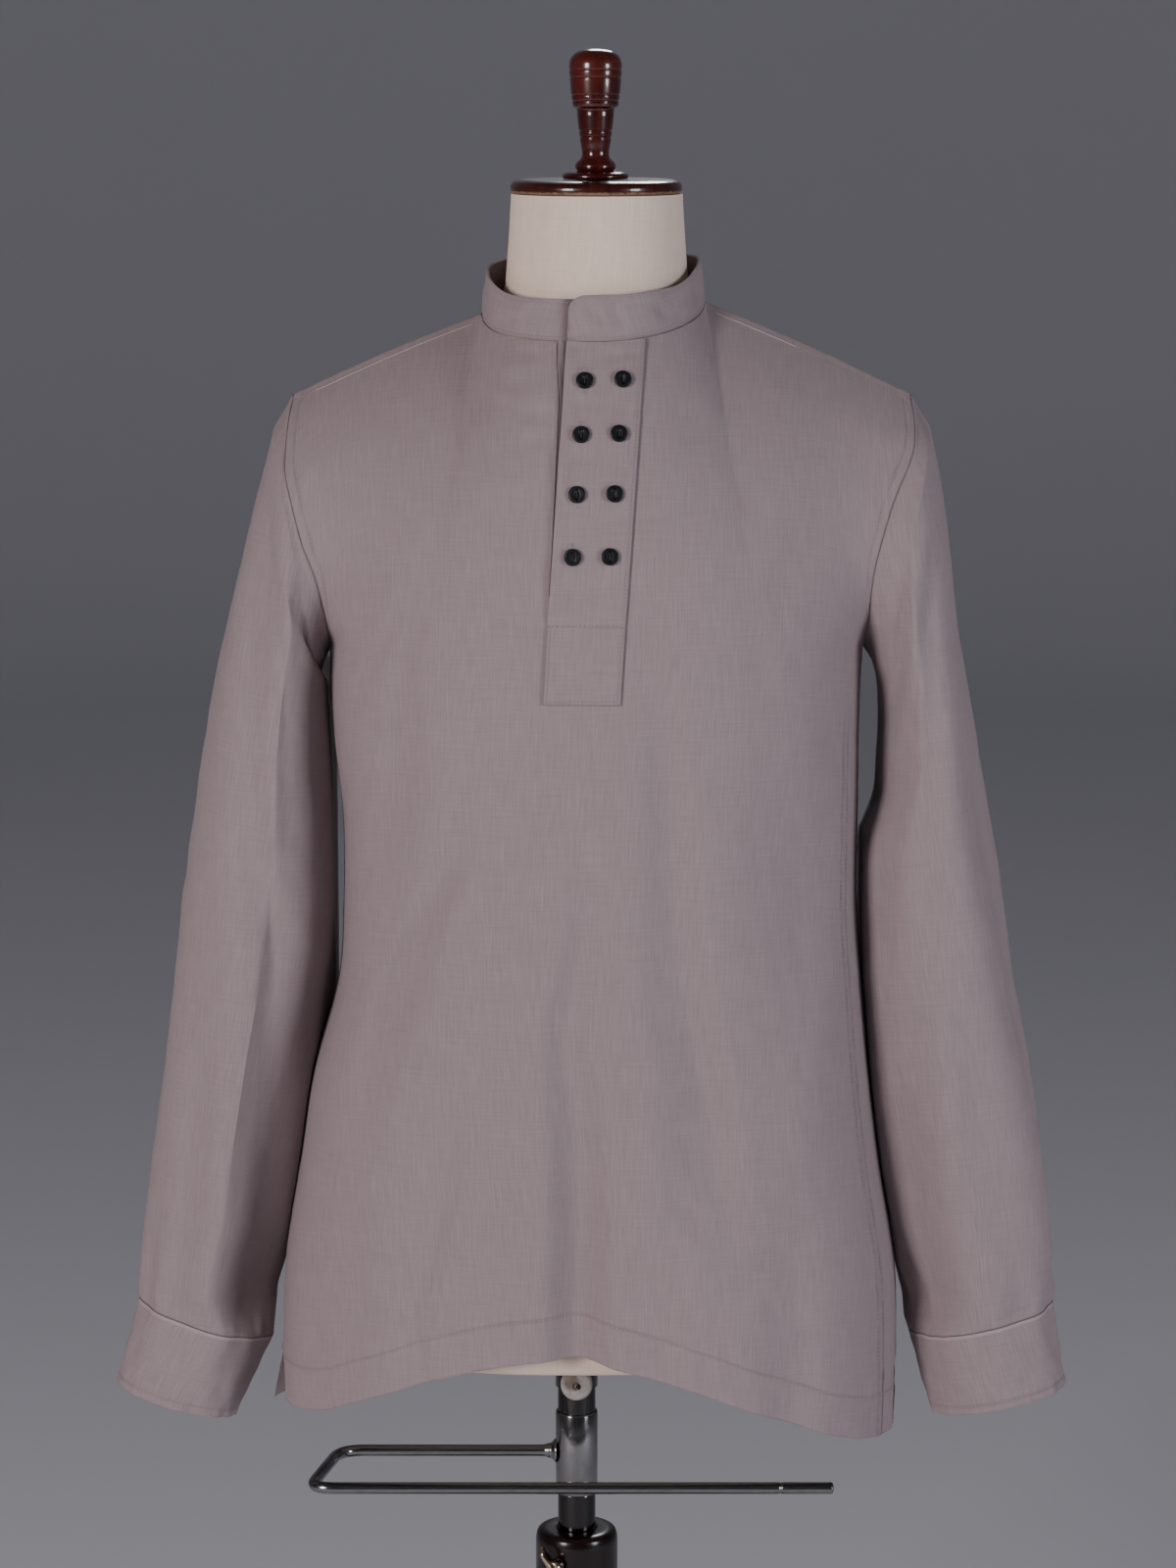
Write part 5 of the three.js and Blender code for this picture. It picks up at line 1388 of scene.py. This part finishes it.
def wing_piece(turn, head):
    """Two rounded ears on the thumb screw's hub."""
    half, tall, thick = 17, 5.6, 1.6
    a = np.arange(48) * 2 * math.pi / 48
    rings = []
    for depth, share in ((-1, .55), (-.92, .8), (-.7, .93), (0, 1), (.7, .93), (.92, .8), (1, .55)):
        x = half * np.sign(np.cos(a)) * np.abs(np.cos(a)) ** .7 * (share * .12 + .88)
        ears = tall * (0.62 + 0.38 * np.clip(np.abs(x) / half * 1.3, 0, 1))
        z = ears * np.sign(np.sin(a)) * np.abs(np.sin(a)) ** .8 * share
        rings.append(points(x, thick * depth, head + 8 + z))
    ears = ring_skin("ears", rings, (0, thick * -1, head + 8), (0, thick, head + 8), sharp=40)
    co = np.zeros(len(ears.data.vertices) * 3)
    ears.data.vertices.foreach_get("co", co)
    x, y, z = co.reshape(-1, 3).T
    ears.data.vertices.foreach_set("co", points(x * math.cos(turn) - y * math.sin(turn),
                                                x * math.sin(turn) + y * math.cos(turn), z).ravel())
    ears.data.update()
    return ears


screw_hub = turned_part("screw_hub", rounded([
    (0, 40), (4.6, 40), (5.6, 38.5), (6, 33), (5.2, 31), (3, 31), (3, 14.4), (2.2, 13.6),
    (0, 13.6)], .6), segments=48)
screw_piece = faced(join("thumb_screw_winged", [screw_hub, wing_piece(0.6 + math.pi / 2, 31)]), -0.44, 447)


# Sewing: rows of stitches along lines on the cloth, and threads, each made by a tree of geometry nodes

def new_tree(name, inputs):
    tree = bpy.data.node_groups.new(name, "GeometryNodeTree")
    tree.interface.new_socket("Geometry", in_out="INPUT", socket_type="NodeSocketGeometry")
    for label, kind in inputs:
        tree.interface.new_socket(label, in_out="INPUT", socket_type=kind)
    tree.interface.new_socket("Geometry", in_out="OUTPUT", socket_type="NodeSocketGeometry")
    start, end = tree.nodes.new("NodeGroupInput"), tree.nodes.new("NodeGroupOutput")

    def node(kind, settings=None, **sockets):
        made = tree.nodes.new(kind)
        for key, value in (settings or {}).items():
            setattr(made, key, value)
        for key, value in sockets.items():
            socket = made.inputs[key.replace("_", " ")]
            if isinstance(value, bpy.types.NodeSocket):
                tree.links.new(value, socket)
            else:
                socket.default_value = value
        return made

    return tree, start.outputs, end.inputs, node


def stitch_tree():
    """Lays one slim stitch at even steps along each line, turned along it and a little uneven."""
    tree, start, end, node = new_tree("stitch_row", (
        ("Pitch", "NodeSocketFloat"), ("Length", "NodeSocketFloat"), ("Thread", "NodeSocketFloat"),
        ("Thread finish", "NodeSocketMaterial")))
    line = node("GeometryNodeMeshToCurve", Mesh=start["Geometry"])
    even = node("GeometryNodeResampleCurve", {"mode": "LENGTH"}, Curve=line.outputs["Curve"], Length=start["Pitch"])
    along = node("GeometryNodeInputTangent")
    turn = node("FunctionNodeAlignRotationToVector", {"axis": "Z"}, Vector=along.outputs["Tangent"])
    jitter = node("FunctionNodeRandomValue", {"data_type": "FLOAT_VECTOR"}, Seed=7)
    jitter.inputs[0].default_value = (-0.09, -0.09, 0)
    jitter.inputs[1].default_value = (0.09, 0.09, 0)
    loose = node("FunctionNodeRotateRotation", {"rotation_space": "LOCAL"}, Rotation=turn.outputs["Rotation"])
    as_turn = node("FunctionNodeEulerToRotation", Euler=jitter.outputs[0])
    tree.links.new(as_turn.outputs["Rotation"], loose.inputs["Rotate By"])
    bead = node("GeometryNodeMeshIcoSphere", Radius=1.0, Subdivisions=1)
    half = node("ShaderNodeMath", {"operation": "MULTIPLY"})
    tree.links.new(start["Length"], half.inputs[0])
    half.inputs[1].default_value = 0.5
    size = node("ShaderNodeCombineXYZ", X=start["Thread"], Y=start["Thread"], Z=half.outputs[0])
    placed = node("GeometryNodeInstanceOnPoints", Points=even.outputs["Curve"], Instance=bead.outputs["Mesh"],
                  Rotation=loose.outputs["Rotation"], Scale=size.outputs["Vector"])
    real = node("GeometryNodeRealizeInstances", Geometry=placed.outputs["Instances"])
    finish = node("GeometryNodeSetMaterial", Geometry=real.outputs["Geometry"], Material=start["Thread finish"])
    smooth_faces = node("GeometryNodeSetShadeSmooth", Geometry=finish.outputs["Geometry"])
    tree.links.new(smooth_faces.outputs[0], end["Geometry"])
    return tree


def thread_tree():
    """Runs a round thread along each line."""
    tree, start, end, node = new_tree("thread_run", (
        ("Thread", "NodeSocketFloat"), ("Thread finish", "NodeSocketMaterial")))
    line = node("GeometryNodeMeshToCurve", Mesh=start["Geometry"])
    ring = node("GeometryNodeCurvePrimitiveCircle", Resolution=6, Radius=start["Thread"])
    solid = node("GeometryNodeCurveToMesh", Curve=line.outputs["Curve"], Profile_Curve=ring.outputs["Curve"],
                 Fill_Caps=True)
    finish = node("GeometryNodeSetMaterial", Geometry=solid.outputs["Mesh"], Material=start["Thread finish"])
    smooth_faces = node("GeometryNodeSetShadeSmooth", Geometry=finish.outputs["Geometry"])
    tree.links.new(smooth_faces.outputs[0], end["Geometry"])
    return tree


def grown(name, tree, lines, values):
    """The plain mesh that a tree makes from lines of points in millimetres."""
    vertices, edges = [], []
    for line in lines:
        first = len(vertices)
        vertices += [tuple(p) for p in np.asarray(line) * MM]
        edges += [(i, i + 1) for i in range(first, len(vertices) - 1)]
    mesh = bpy.data.meshes.new(name + "_lines")
    mesh.from_pydata(vertices, edges, [])
    carrier = bpy.data.objects.new(name + "_lines", mesh)
    bpy.context.scene.collection.objects.link(carrier)
    modifier = carrier.modifiers.new("sewing", "NODES")
    modifier.node_group = tree
    for item in tree.interface.items_tree:
        if item.item_type == "SOCKET" and item.in_out == "INPUT" and item.name in values:
            modifier[item.identifier] = values[item.name]
    bpy.context.view_layer.update()
    graph = bpy.context.evaluated_depsgraph_get()
    done = bpy.data.meshes.new_from_object(carrier.evaluated_get(graph), depsgraph=graph)
    bpy.data.objects.remove(carrier)
    made = bpy.data.objects.new(name, done)
    done.name = name
    bpy.context.scene.collection.objects.link(made)
    return made


# Finishes

class Value:
    """A shader socket that takes Python's operators; each adds one Math node."""

    def __init__(self, finish, socket):
        self.finish, self.socket = finish, socket

    def __add__(self, other):
        return self.finish.math("ADD", self, other)

    def __radd__(self, other):
        return self.finish.math("ADD", other, self)

    def __sub__(self, other):
        return self.finish.math("SUBTRACT", self, other)

    def __rsub__(self, other):
        return self.finish.math("SUBTRACT", other, self)

    def __mul__(self, other):
        return self.finish.math("MULTIPLY", self, other)

    def __rmul__(self, other):
        return self.finish.math("MULTIPLY", other, self)

    def __truediv__(self, other):
        return self.finish.math("DIVIDE", self, other)

    def __rtruediv__(self, other):
        return self.finish.math("DIVIDE", other, self)

    def __pow__(self, other):
        return self.finish.math("POWER", self, other)

    def __rpow__(self, other):
        return self.finish.math("POWER", other, self)

    def __neg__(self):
        return self.finish.math("MULTIPLY", self, -1.0)


class Finish:
    """A material and its nodes."""

    def __init__(self, name):
        self.material = bpy.data.materials.new(name)
        self.material.use_nodes = True
        self.tree = self.material.node_tree
        self.tree.nodes.clear()

    def node(self, kind, settings=None, sockets=None, out=0):
        """Adds one node: its settings first, then values or links by socket name or number."""
        made = self.tree.nodes.new(kind)
        for key, value in (settings or {}).items():
            setattr(made, key, value)
        for key, value in (sockets or {}).items():
            socket = made.inputs[key]
            if isinstance(value, Value):
                self.tree.links.new(value.socket, socket)
            elif socket.type == "RGBA" and len(value) == 3:
                socket.default_value = (*value, 1)
            else:
                socket.default_value = value
        return Value(self, made.outputs[out])

    def math(self, operation, *values):
        return self.node("ShaderNodeMath", {"operation": operation}, dict(enumerate(values)))

    def within(self, value, low, high):
        """From 0 at low to 1 at high, smoothly."""
        return self.node("ShaderNodeMapRange", {"interpolation_type": "SMOOTHSTEP"}, {0: value, 1: low, 2: high})

    def blend(self, share, a, b):
        return self.node("ShaderNodeMix", {"data_type": "RGBA"}, {0: share, 6: a, 7: b}, out=2)

    def split(self, vector):
        made = self.tree.nodes.new("ShaderNodeSeparateXYZ")
        self.tree.links.new(vector.socket, made.inputs[0])
        return [Value(self, socket) for socket in made.outputs]

    def vector(self, x=0.0, y=0.0, z=0.0):
        return self.node("ShaderNodeCombineXYZ", None, {0: x, 1: y, 2: z})

    def noise(self, vector, scale=1.0, detail=2.0, rough=0.5, dimensions="3D"):
        return self.node("ShaderNodeTexNoise", {"noise_dimensions": dimensions},
                         {"Vector": vector, "Scale": scale, "Detail": detail, "Roughness": rough})

    def object_place(self):
        return self.node("ShaderNodeTexCoord", None, None, out="Object")

    def cloth_place(self):
        return self.node("ShaderNodeUVMap", {"uv_map": "cloth"}, None, out="UV")

    def relief(self, height, distance, strength):
        return self.node("ShaderNodeBump", None, {"Height": height, "Distance": distance, "Strength": strength})

    def surface(self, **sockets):
        """The closing shader, with its sockets named in words joined by underscores."""
        shader = self.node("ShaderNodeBsdfPrincipled", None, {k.replace("_", " "): v for k, v in sockets.items()})
        end = self.tree.nodes.new("ShaderNodeOutputMaterial")
        self.tree.links.new(shader.socket, end.inputs["Surface"])
        return self.material


def woven(finish, u, v, warp, weft, streak):
    """A plain weave of uneven yarns. Gives its height, the yarns' tone, and how thick the slubs are there."""
    sway = (finish.noise(finish.vector(u * 60, v * 60), detail=1) - 0.5) * 0.00035
    across, up = (u + sway) / warp, (v + sway) / weft
    column, row = finish.math("FLOOR", across), finish.math("FLOOR", up)
    lifted = finish.math("FLOORED_MODULO", column + row, 2.0)
    warp_round = finish.math("SINE", (across - column) * math.pi)
    weft_round = finish.math("SINE", (up - row) * math.pi)
    height = lifted * warp_round + (1 - lifted) * weft_round
    warp_tone = finish.noise(finish.vector(column * 0.731, v * 34), detail=2, rough=0.6)
    weft_tone = finish.noise(finish.vector(u * 34, row * 0.677, 5.0), detail=2, rough=0.6)
    tone = lifted * warp_tone + (1 - lifted) * (0.2 + weft_tone * 0.6)
    long_up = finish.noise(finish.vector(u * streak, v * streak * 0.045, 2.0), detail=2, rough=0.5)
    long_across = finish.noise(finish.vector(u * streak * 0.03, v * streak * 0.9, 7.0), detail=2, rough=0.55)
    slub_up = finish.within(finish.noise(finish.vector(u * 1500, v * 26, 11.0), detail=0), 0.7, 0.84)
    slub_across = finish.within(finish.noise(finish.vector(u * 26, v * 1400, 17.0), detail=0), 0.7, 0.84)
    return height, tone, long_up, long_across, slub_up, slub_across


def linen(name, colour, shade, warp=0.00062, weft=0.00066, streak=1050.0, contrast=1.0):
    """Fine slubby linen: colour where it lies high and shade where the yarns are dull, with painted shade where the
    weave lies low.
    """
    finish = Finish(name)
    u, v, _ = finish.split(finish.cloth_place())
    height, tone, long_up, long_across, slub_up, slub_across = woven(finish, u, v, warp, weft, streak)
    cloudy = finish.noise(finish.vector(u * 9, v * 7, 3.0), detail=3, rough=0.6)
    # The weave's height adds painted shade where the yarns lie low
    lightness = (0.5 + (tone - 0.5) * 1.1 * contrast + (long_up - 0.5) * 0.6 * contrast
                 + (long_across - 0.5) * 0.3 * contrast + (height - 0.6) * 0.4
                 + (slub_up + slub_across * 0.4) * 0.3 + (cloudy - 0.5) * 0.12)
    share = finish.math("MINIMUM", finish.math("MAXIMUM", lightness, 0.0), 1.0)
    base = finish.blend(share, shade, colour)
    # Painted shade along seams, edges and gaps, and painted highlight along ridges where the attribute is negative
    seam = finish.node("ShaderNodeAttribute", {"attribute_name": "painted_shade_and_highlight"}, None, out="Fac")
    base = finish.blend(seam, base, tuple(value * 0.3 for value in shade))
    base = finish.blend(-seam, base, tuple(min(1, value * 1.35) for value in colour))
    rough = 0.86 - slub_up * 0.06 - (tone - 0.5) * 0.1
    lift = height * 0.75 + (tone - 0.5) * 0.5 + (slub_up + slub_across) * 0.7 + (long_up - 0.5) * 0.5
    normal = finish.relief(lift, 0.00013, 0.55)
    return finish.surface(Base_Color=base, Roughness=rough, Normal=normal, Sheen_Weight=0.1,
                          Sheen_Roughness=0.42, Sheen_Tint=(0.92, 0.86, 0.88, 1), Specular_IOR_Level=0.25)


def thread_finish(name, colour, shade):
    finish = Finish(name)
    place = finish.object_place()
    twist = finish.noise(place, 2600, 1)
    base = finish.blend(twist, shade, colour)
    return finish.surface(Base_Color=base, Roughness=0.55 + twist * 0.2, Normal=finish.relief(twist, 0.00006, 0.5),
                          Sheen_Weight=0.15)


def varnished_wood(name, colour, dark, worn=None, edge=None, gloss=0.75):
    """Red brown wood under gloss; edge names the height band where the varnish is worn to pale wood."""
    finish = Finish(name)
    place = finish.object_place()
    x, y, z = finish.split(place)
    grain = finish.noise(finish.vector(x * 190, y * 190, z * 9), detail=4, rough=0.6)
    pores = finish.noise(finish.vector(x * 900, y * 900, z * 30), detail=1)
    cloud = finish.noise(place, 24, 3)
    share = finish.within(grain * 0.6 + cloud * 0.5 + (pores - 0.5) * 0.25, 0.3, 0.8)
    base = finish.blend(share, dark, colour)
    rough = 0.2 + cloud * 0.1
    coat = gloss
    if edge:
        low, high = edge
        chip = finish.noise(finish.vector(x * 260, y * 260, z * 500), detail=4, rough=0.7)
        rub = (1 - finish.within(z + (chip - 0.5) * 0.0035, low, high))
        base = finish.blend(rub, base, worn)
        rough = rough + rub * 0.35
        coat = gloss - rub * (gloss * 0.7)
    scratches = finish.noise(finish.vector(x * 60, y * 60, z * 700), detail=2)
    normal = finish.relief(pores * 0.4 + scratches * 0.3, 0.00004, 0.25)
    return finish.surface(Base_Color=base, Roughness=rough, Specular_IOR_Level=0.3, Coat_Weight=coat,
                          Coat_Roughness=0.06, Normal=normal)


def bright_steel(name, colour, dull, streak):
    """Plated steel with faint lengthwise marks, smudges and a few dull specks."""
    finish = Finish(name)
    place = finish.object_place()
    x, y, z = finish.split(place)
    marks = finish.noise(finish.vector(x * streak[0], y * streak[1], z * streak[2]), detail=3, rough=0.6)
    smudge = finish.noise(place, 55, 4, 0.65)
    specks = finish.within(finish.noise(place, 950, 1), 0.7, 0.78)
    base = finish.blend(finish.within(smudge, 0.45, 0.75) * 0.5 + specks * 0.4, colour, dull)
    rough = 0.1 + finish.within(smudge, 0.4, 0.8) * 0.16 + marks * 0.08 + specks * 0.25
    return finish.surface(Base_Color=base, Metallic=1.0 - specks * 0.35, Roughness=rough,
                          Normal=finish.relief(marks, 0.00002, 0.25))


def knob_finish():
    """Pale worn paint on a round knob, with a brown smear, and painted shade for the hole in its middle."""
    finish = Finish("knob_paint")
    place = finish.object_place()
    x, y, z = finish.split(place)
    side, up = x / 0.0111, (z - 0.577) / 0.0111
    blotch = finish.noise(place, 160, 4, 0.65)
    reach = finish.math("SQRT", (side + 0.28) ** 2 + (up - 0.3) ** 2 * 0.4)
    smear = 1 - finish.within(reach + (blotch - 0.5) * 0.7, 0.25, 0.6)
    base = finish.blend(finish.within(blotch, 0.35, 0.7), (0.34, 0.31, 0.29), (0.5, 0.47, 0.44))
    base = finish.blend(smear * 0.75, base, (0.16, 0.09, 0.06))
    # A near-black disc near the middle is painted shade standing in for the hole's dark inside
    ring = finish.math("SQRT", (side - 0.12) ** 2 + (up + 0.05) ** 2)
    base = finish.blend(1 - finish.within(ring, 0.14, 0.2), base, (0.01, 0.01, 0.01))
    return finish.surface(Base_Color=base, Roughness=0.4 + blotch * 0.3, Normal=finish.relief(blotch, 0.00015, 0.5))


def button_finish():
    finish = Finish("button_black")
    place = finish.object_place()
    swirl = finish.noise(place, 420, 3, 0.6)
    base = finish.blend(swirl, (0.003, 0.0035, 0.005), (0.008, 0.009, 0.012))
    return finish.surface(Base_Color=base, Roughness=0.34 + swirl * 0.2, Normal=finish.relief(swirl, 0.00003, 0.4),
                          Specular_IOR_Level=0.2, Coat_Weight=0.12, Coat_Roughness=0.2)


def floor_finish():
    finish = Finish("floor_pale")
    drift = finish.noise(finish.object_place(), 0.6, 3)
    base = finish.blend(drift, (0.80, 0.785, 0.84), (0.84, 0.825, 0.88))
    return finish.surface(Base_Color=base, Roughness=0.9, Specular_IOR_Level=0.2)


CLOTH_COLOUR, CLOTH_SHADE = (0.350, 0.276, 0.288), (0.205, 0.155, 0.163)
kurta_linen = linen("kurta_linen", CLOTH_COLOUR, CLOTH_SHADE)
form_linen = linen("form_linen", (0.85, 0.68, 0.57), (0.60, 0.475, 0.385), 0.0010, 0.00105, 700, 0.8)
kurta_thread = thread_finish("kurta_thread", (0.42, 0.34, 0.345), (0.26, 0.2, 0.2))
pale_thread = thread_finish("pale_thread", (0.50, 0.43, 0.42), (0.36, 0.30, 0.29))
black_thread = thread_finish("button_thread", (0.02, 0.021, 0.024), (0.008, 0.008, 0.01))
button_black = button_finish()
red_wood = varnished_wood("red_wood", (0.085, 0.009, 0.006), (0.020, 0.002, 0.0015))
cap_wood = varnished_wood("cap_wood", (0.060, 0.009, 0.006), (0.018, 0.003, 0.002), (0.33, 0.2, 0.11),
                          ((cap_z + 0.5) * MM, (cap_z + 2.6) * MM), 0.5)
column_wood = varnished_wood("column_wood", (0.010, 0.002, 0.0018), (0.004, 0.0012, 0.001), gloss=0.2)
# The pole and socket steel gets a dark colour, a painted stand-in for the dark surroundings that the plated steel
# reflects
pole_steel = bright_steel("pole_steel", (0.045, 0.042, 0.042), (0.028, 0.025, 0.024), (600, 600, 12))
bar_steel = bright_steel("bar_steel", (0.24, 0.235, 0.235), (0.13, 0.115, 0.105), (14, 500, 500))
screw_steel = bright_steel("screw_steel", (0.42, 0.33, 0.25), (0.2, 0.14, 0.1), (300, 300, 300))


# Where the sewing runs

def mirrored(face, side):
    """The grid edge of a panel that lies on a side of the garment."""
    return side if face == "front" else ("left" if side == "right" else "right")


stitch_lines, short_lines = [], []
for face, cloth in (("front", front), ("back", back)):
    for side in SIDES:
        edge = mirrored(face, side)
        stitch_lines.append(cloth.beside(edge, FELLED, 1.0, 1.93, THREAD_LIFT))
        stitch_lines.append(cloth.beside(edge, 1.5, 1.0, 1.86, THREAD_LIFT))
        stitch_lines.append(cloth.beside(edge, FELLED, 0.04, 1.0, THREAD_LIFT))
        stitch_lines.append(cloth.beside(edge, 6.2, 1.9, 1.985, THREAD_LIFT))
    stitch_lines.append(cloth.beside("bottom", HEM_DEPTH - 0.6, -13.7, 13.7, THREAD_LIFT))
for low, high in ((-13.8, -6.2), (6.2, 13.8)):
    stitch_lines.append(front.beside("top", FELLED, low, high, THREAD_LIFT))
cross_t, end_t = float(height_to_t(PLACKET["cross"])), float(height_to_t(PLACKET["end"] + 2))
short_lines += [
    over.beside("right", 2.2, 0.01, end_t, 0.1), over.beside("left", 2.2, cross_t, end_t, 0.1),
    over.beside("bottom", 2.2, -0.91, 0.91, 0.1), over.at(np.linspace(-.91, .91, 60), cross_t, 0.1),
    front.at(-1.05, np.linspace(0.02, 0.30, 60), THREAD_LIFT),
]
side_seam = np.linspace(1.1, 1.93, 240)
for off in (0.3, FELLED + 0.4):
    level = front.across[np.argmin(np.abs(front.rows - 1.5))]
    at_seam = np.interp(SIDE_LINE, front.cols, level)
    stitch_lines.append(front.at(np.interp(at_seam - off, level, front.cols), side_seam, THREAD_LIFT))
# A pale thread along each shoulder seam stands partly for its stitching and partly as a painted highlight on the
# seam's lit ridge
shoulder_lines = [front.beside("top", 7.6, low, high, 0.3) for low, high in ((-13.0, -6.2), (6.2, 9.5))]
for edge in ("top", "bottom"):
    short_lines.append(collar.beside(edge, 2.2, collar_end + 0.12, 2 * math.pi + collar_middle, 0.1))
short_lines.append(collar.at(collar_end + 2.2 / NECK["half_depth"], np.linspace(4, len(collar.rows) - 2, 30), 0.1))
for side in SIDES:
    around = np.arange(SLEEVE_COLS + 1, dtype=float)
    for distance, edge in ((2.4, "top"), (CUFF_STITCH, "bottom")):
        line = cuffs[side].beside(edge, distance, 0, SLEEVE_COLS, 0.1)
        short_lines.append(np.concatenate([line, line[:1]]))
    underarm = SLEEVE_COLS / 2
    rows = np.linspace(6, len(sleeves[side].rows) - 2, 260)
    for off in (-0.9, 0.9):
        stitch_lines.append(sleeves[side].sample(rows, np.full(rows.shape, underarm + off), THREAD_LIFT))

stitching = stitch_tree()
threading = thread_tree()
kurta_sewing = [
    grown("seam_stitches", stitching, stitch_lines,
          {"Pitch": 0.0029, "Length": 0.0023, "Thread": 0.00022, "Thread finish": kurta_thread}),
    grown("edge_stitches", stitching, short_lines,
          {"Pitch": 0.0025, "Length": 0.0020, "Thread": 0.00022, "Thread finish": kurta_thread}),
]


def satin(centre, across, up, half, width, pitch=0.42):
    """A zigzag of thread that fills a narrow bar."""
    count = int(2 * half / pitch)
    steps = np.linspace(-half, half, count)
    swing = np.where(np.arange(count) % 2, width, -width)
    return centre + steps[:, None] * up + swing[:, None] * across


buttonholes, button_threads = [], []
for name, place, right, up, out, number in button_frames():
    if name.endswith("left"):
        for side in (-1, 1):
            buttonholes.append(satin(place + out * 0.12 + right * 0.75 * side, right, up, 8.2, 0.55))
        for end in (-8.4, 8.4):
            buttonholes.append(satin(place + out * 0.14 + up * end, up, right, 1.3, 0.5))
    hollow = 0.45 + BUTTON["thick"] - 1.2
    laid = ((-2.0, hollow - .5), (-1.5, hollow + .1), (0, hollow + .25), (1.5, hollow + .1), (2.0, hollow - .5))
    button_threads.append([place + up * y + out * h for y, h in laid])
    for x, y in ((-.5, 0), (.5, 0), (0, .5), (0, -.5)):
        button_threads.append([place + right * x + up * y + out * h for h in (-0.1, 0.55)])
for side, c in (("left", -HALF_COLS), ("right", HALF_COLS)):
    t_top = float(np.interp(SLIT_TOP, front.grid[::-1, 0 if side == "left" else -1, 2], front.rows[::-1]))
    near, far = front.at(c, t_top), back.at(-c, t_top)
    spot = (near + far) / 2 + np.array([SIDES[side]["sign"] * 0.5, 0, 0])
    for rise in (0, 1.6):
        buttonholes.append(satin(spot + points(0, 0, rise), points(0, 0, 1), points(0, 1, 0), 4.2, 0.8))
buttonhole_sewing = grown("buttonholes", threading, buttonholes, {"Thread": 0.00021, "Thread finish": pale_thread})
shoulder_thread_and_highlight = grown("shoulder_edge", threading, shoulder_lines,
                        {"Thread": 0.0003, "Thread finish": pale_thread})
button_sewing = grown("button_threads", threading, button_threads,
                      {"Thread": 0.0004, "Thread finish": black_thread})


# Each piece's finish, body and the solids that it stands for

def dress(piece, finish, body, slot, *replaced):
    piece.data.materials.clear()
    piece.data.materials.append(finish)
    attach(piece, body)
    if replaced:
        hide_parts(*replaced)


dress(front_piece, kurta_linen, "form", "kurta_cloth", "front")
dress(back_piece, kurta_linen, "form", "kurta_cloth", "back")
dress(over_piece, kurta_linen, "form", "kurta_cloth", "placket_over")
dress(under_piece, kurta_linen, "form", "kurta_cloth", "placket_under")
dress(collar_piece, kurta_linen, "form", "kurta_cloth", "collar")
for side in SIDES:
    dress(sleeve_pieces[side], kurta_linen, "form", "kurta_cloth", f"sleeve_{side}")
    dress(cuff_pieces[side], kurta_linen, "form", "kurta_cloth", f"cuff_{side}")
for name, piece in button_pieces.items():
    dress(piece, button_black, "form", "button", name)
for piece in kurta_sewing:
    dress(piece, kurta_thread, "form", "kurta_cloth")
dress(buttonhole_sewing, pale_thread, "form", "kurta_cloth")
dress(shoulder_thread_and_highlight, pale_thread, "form", "kurta_cloth")
dress(button_sewing, black_thread, "form", "button")
dress(form_cover, form_linen, "form", "form_cloth", "form_body")
dress(cap_piece, cap_wood, "form", "dark_wood", "neck_cap")
dress(finial_piece, red_wood, "form", "dark_wood", "finial")
dress(socket_piece, pole_steel, "form", "bright_metal", "socket_collar")
dress(knob_piece, knob_finish(), "form_knob", "knob", "socket_knob")
dress(pole_piece, pole_steel, "mast", "bright_metal", "pole")
dress(trouser_bar, bar_steel, "bar", "bright_metal", "trouser_bar")
dress(column_piece, column_wood, "stand", "dark_wood", "column")
dress(base_piece, column_wood, "stand", "dark_wood", "base")
dress(screw_piece, screw_steel, "clamp_screw", "bright_metal", "thumb_screw")


# Floor and light

ROOM = {"floor": 6.8, "sweep": 5.0, "wall": 12.0}
arc = np.linspace(0, math.pi / 2, 24)
room_outline = [(0, 0), (0.5, 0), (ROOM["floor"], 0)] + [
    (ROOM["floor"] + ROOM["sweep"] * math.sin(a), ROOM["sweep"] * (1 - math.cos(a))) for a in arc[1:]] + [
    (ROOM["floor"] + ROOM["sweep"], ROOM["wall"])]
room = turned_part("studio_floor", [(r / MM, z / MM) for r, z in room_outline], segments=96, sharp=0)
room.data.flip_normals()
room.data.materials.append(floor_finish())


def lamp(name, kind, place, target, power, colour):
    """A lamp turned to its target; gives the lamp and its light, whose size the caller sets."""
    light = bpy.data.lights.new(name, kind)
    light.energy, light.color = power, colour
    made = bpy.data.objects.new(name, light)
    made.location = place
    made.rotation_euler = (Vector(target) - Vector(place)).to_track_quat("-Z", "Y").to_euler()
    bpy.context.scene.collection.objects.link(made)
    return made, light

def softbox(name, place, target, width, height, power, colour):
    made, light = lamp(name, "AREA", place, target, power, colour)
    light.shape = "RECTANGLE"
    light.size, light.size_y = width, height
    made.visible_camera = False

softbox("key", (-2.35, -3.0, 1.75), (0, 0, 1.0), 0.9, 1.3, 109, (1.0, 0.96, 0.95))
softbox("fill", (3.1, -2.3, 1.5), (0, 0, 1.0), 0.9, 1.3, 73, (0.9, 0.945, 1.0))
_, rear = lamp("rear", "SPOT", (0.3, 3.5, 3.2), (0, 0, 1.15), 150, (0.97, 0.98, 1.0))
rear.shadow_soft_size, rear.spot_size, rear.spot_blend = 0.5, math.radians(30), 0.8
world = bpy.data.worlds.new("studio")
bpy.context.scene.world = world
world.use_nodes = True
world.node_tree.nodes["Background"].inputs[0].default_value = (0.9, 0.93, 1.0, 1)
world.node_tree.nodes["Background"].inputs[1].default_value = 0.06
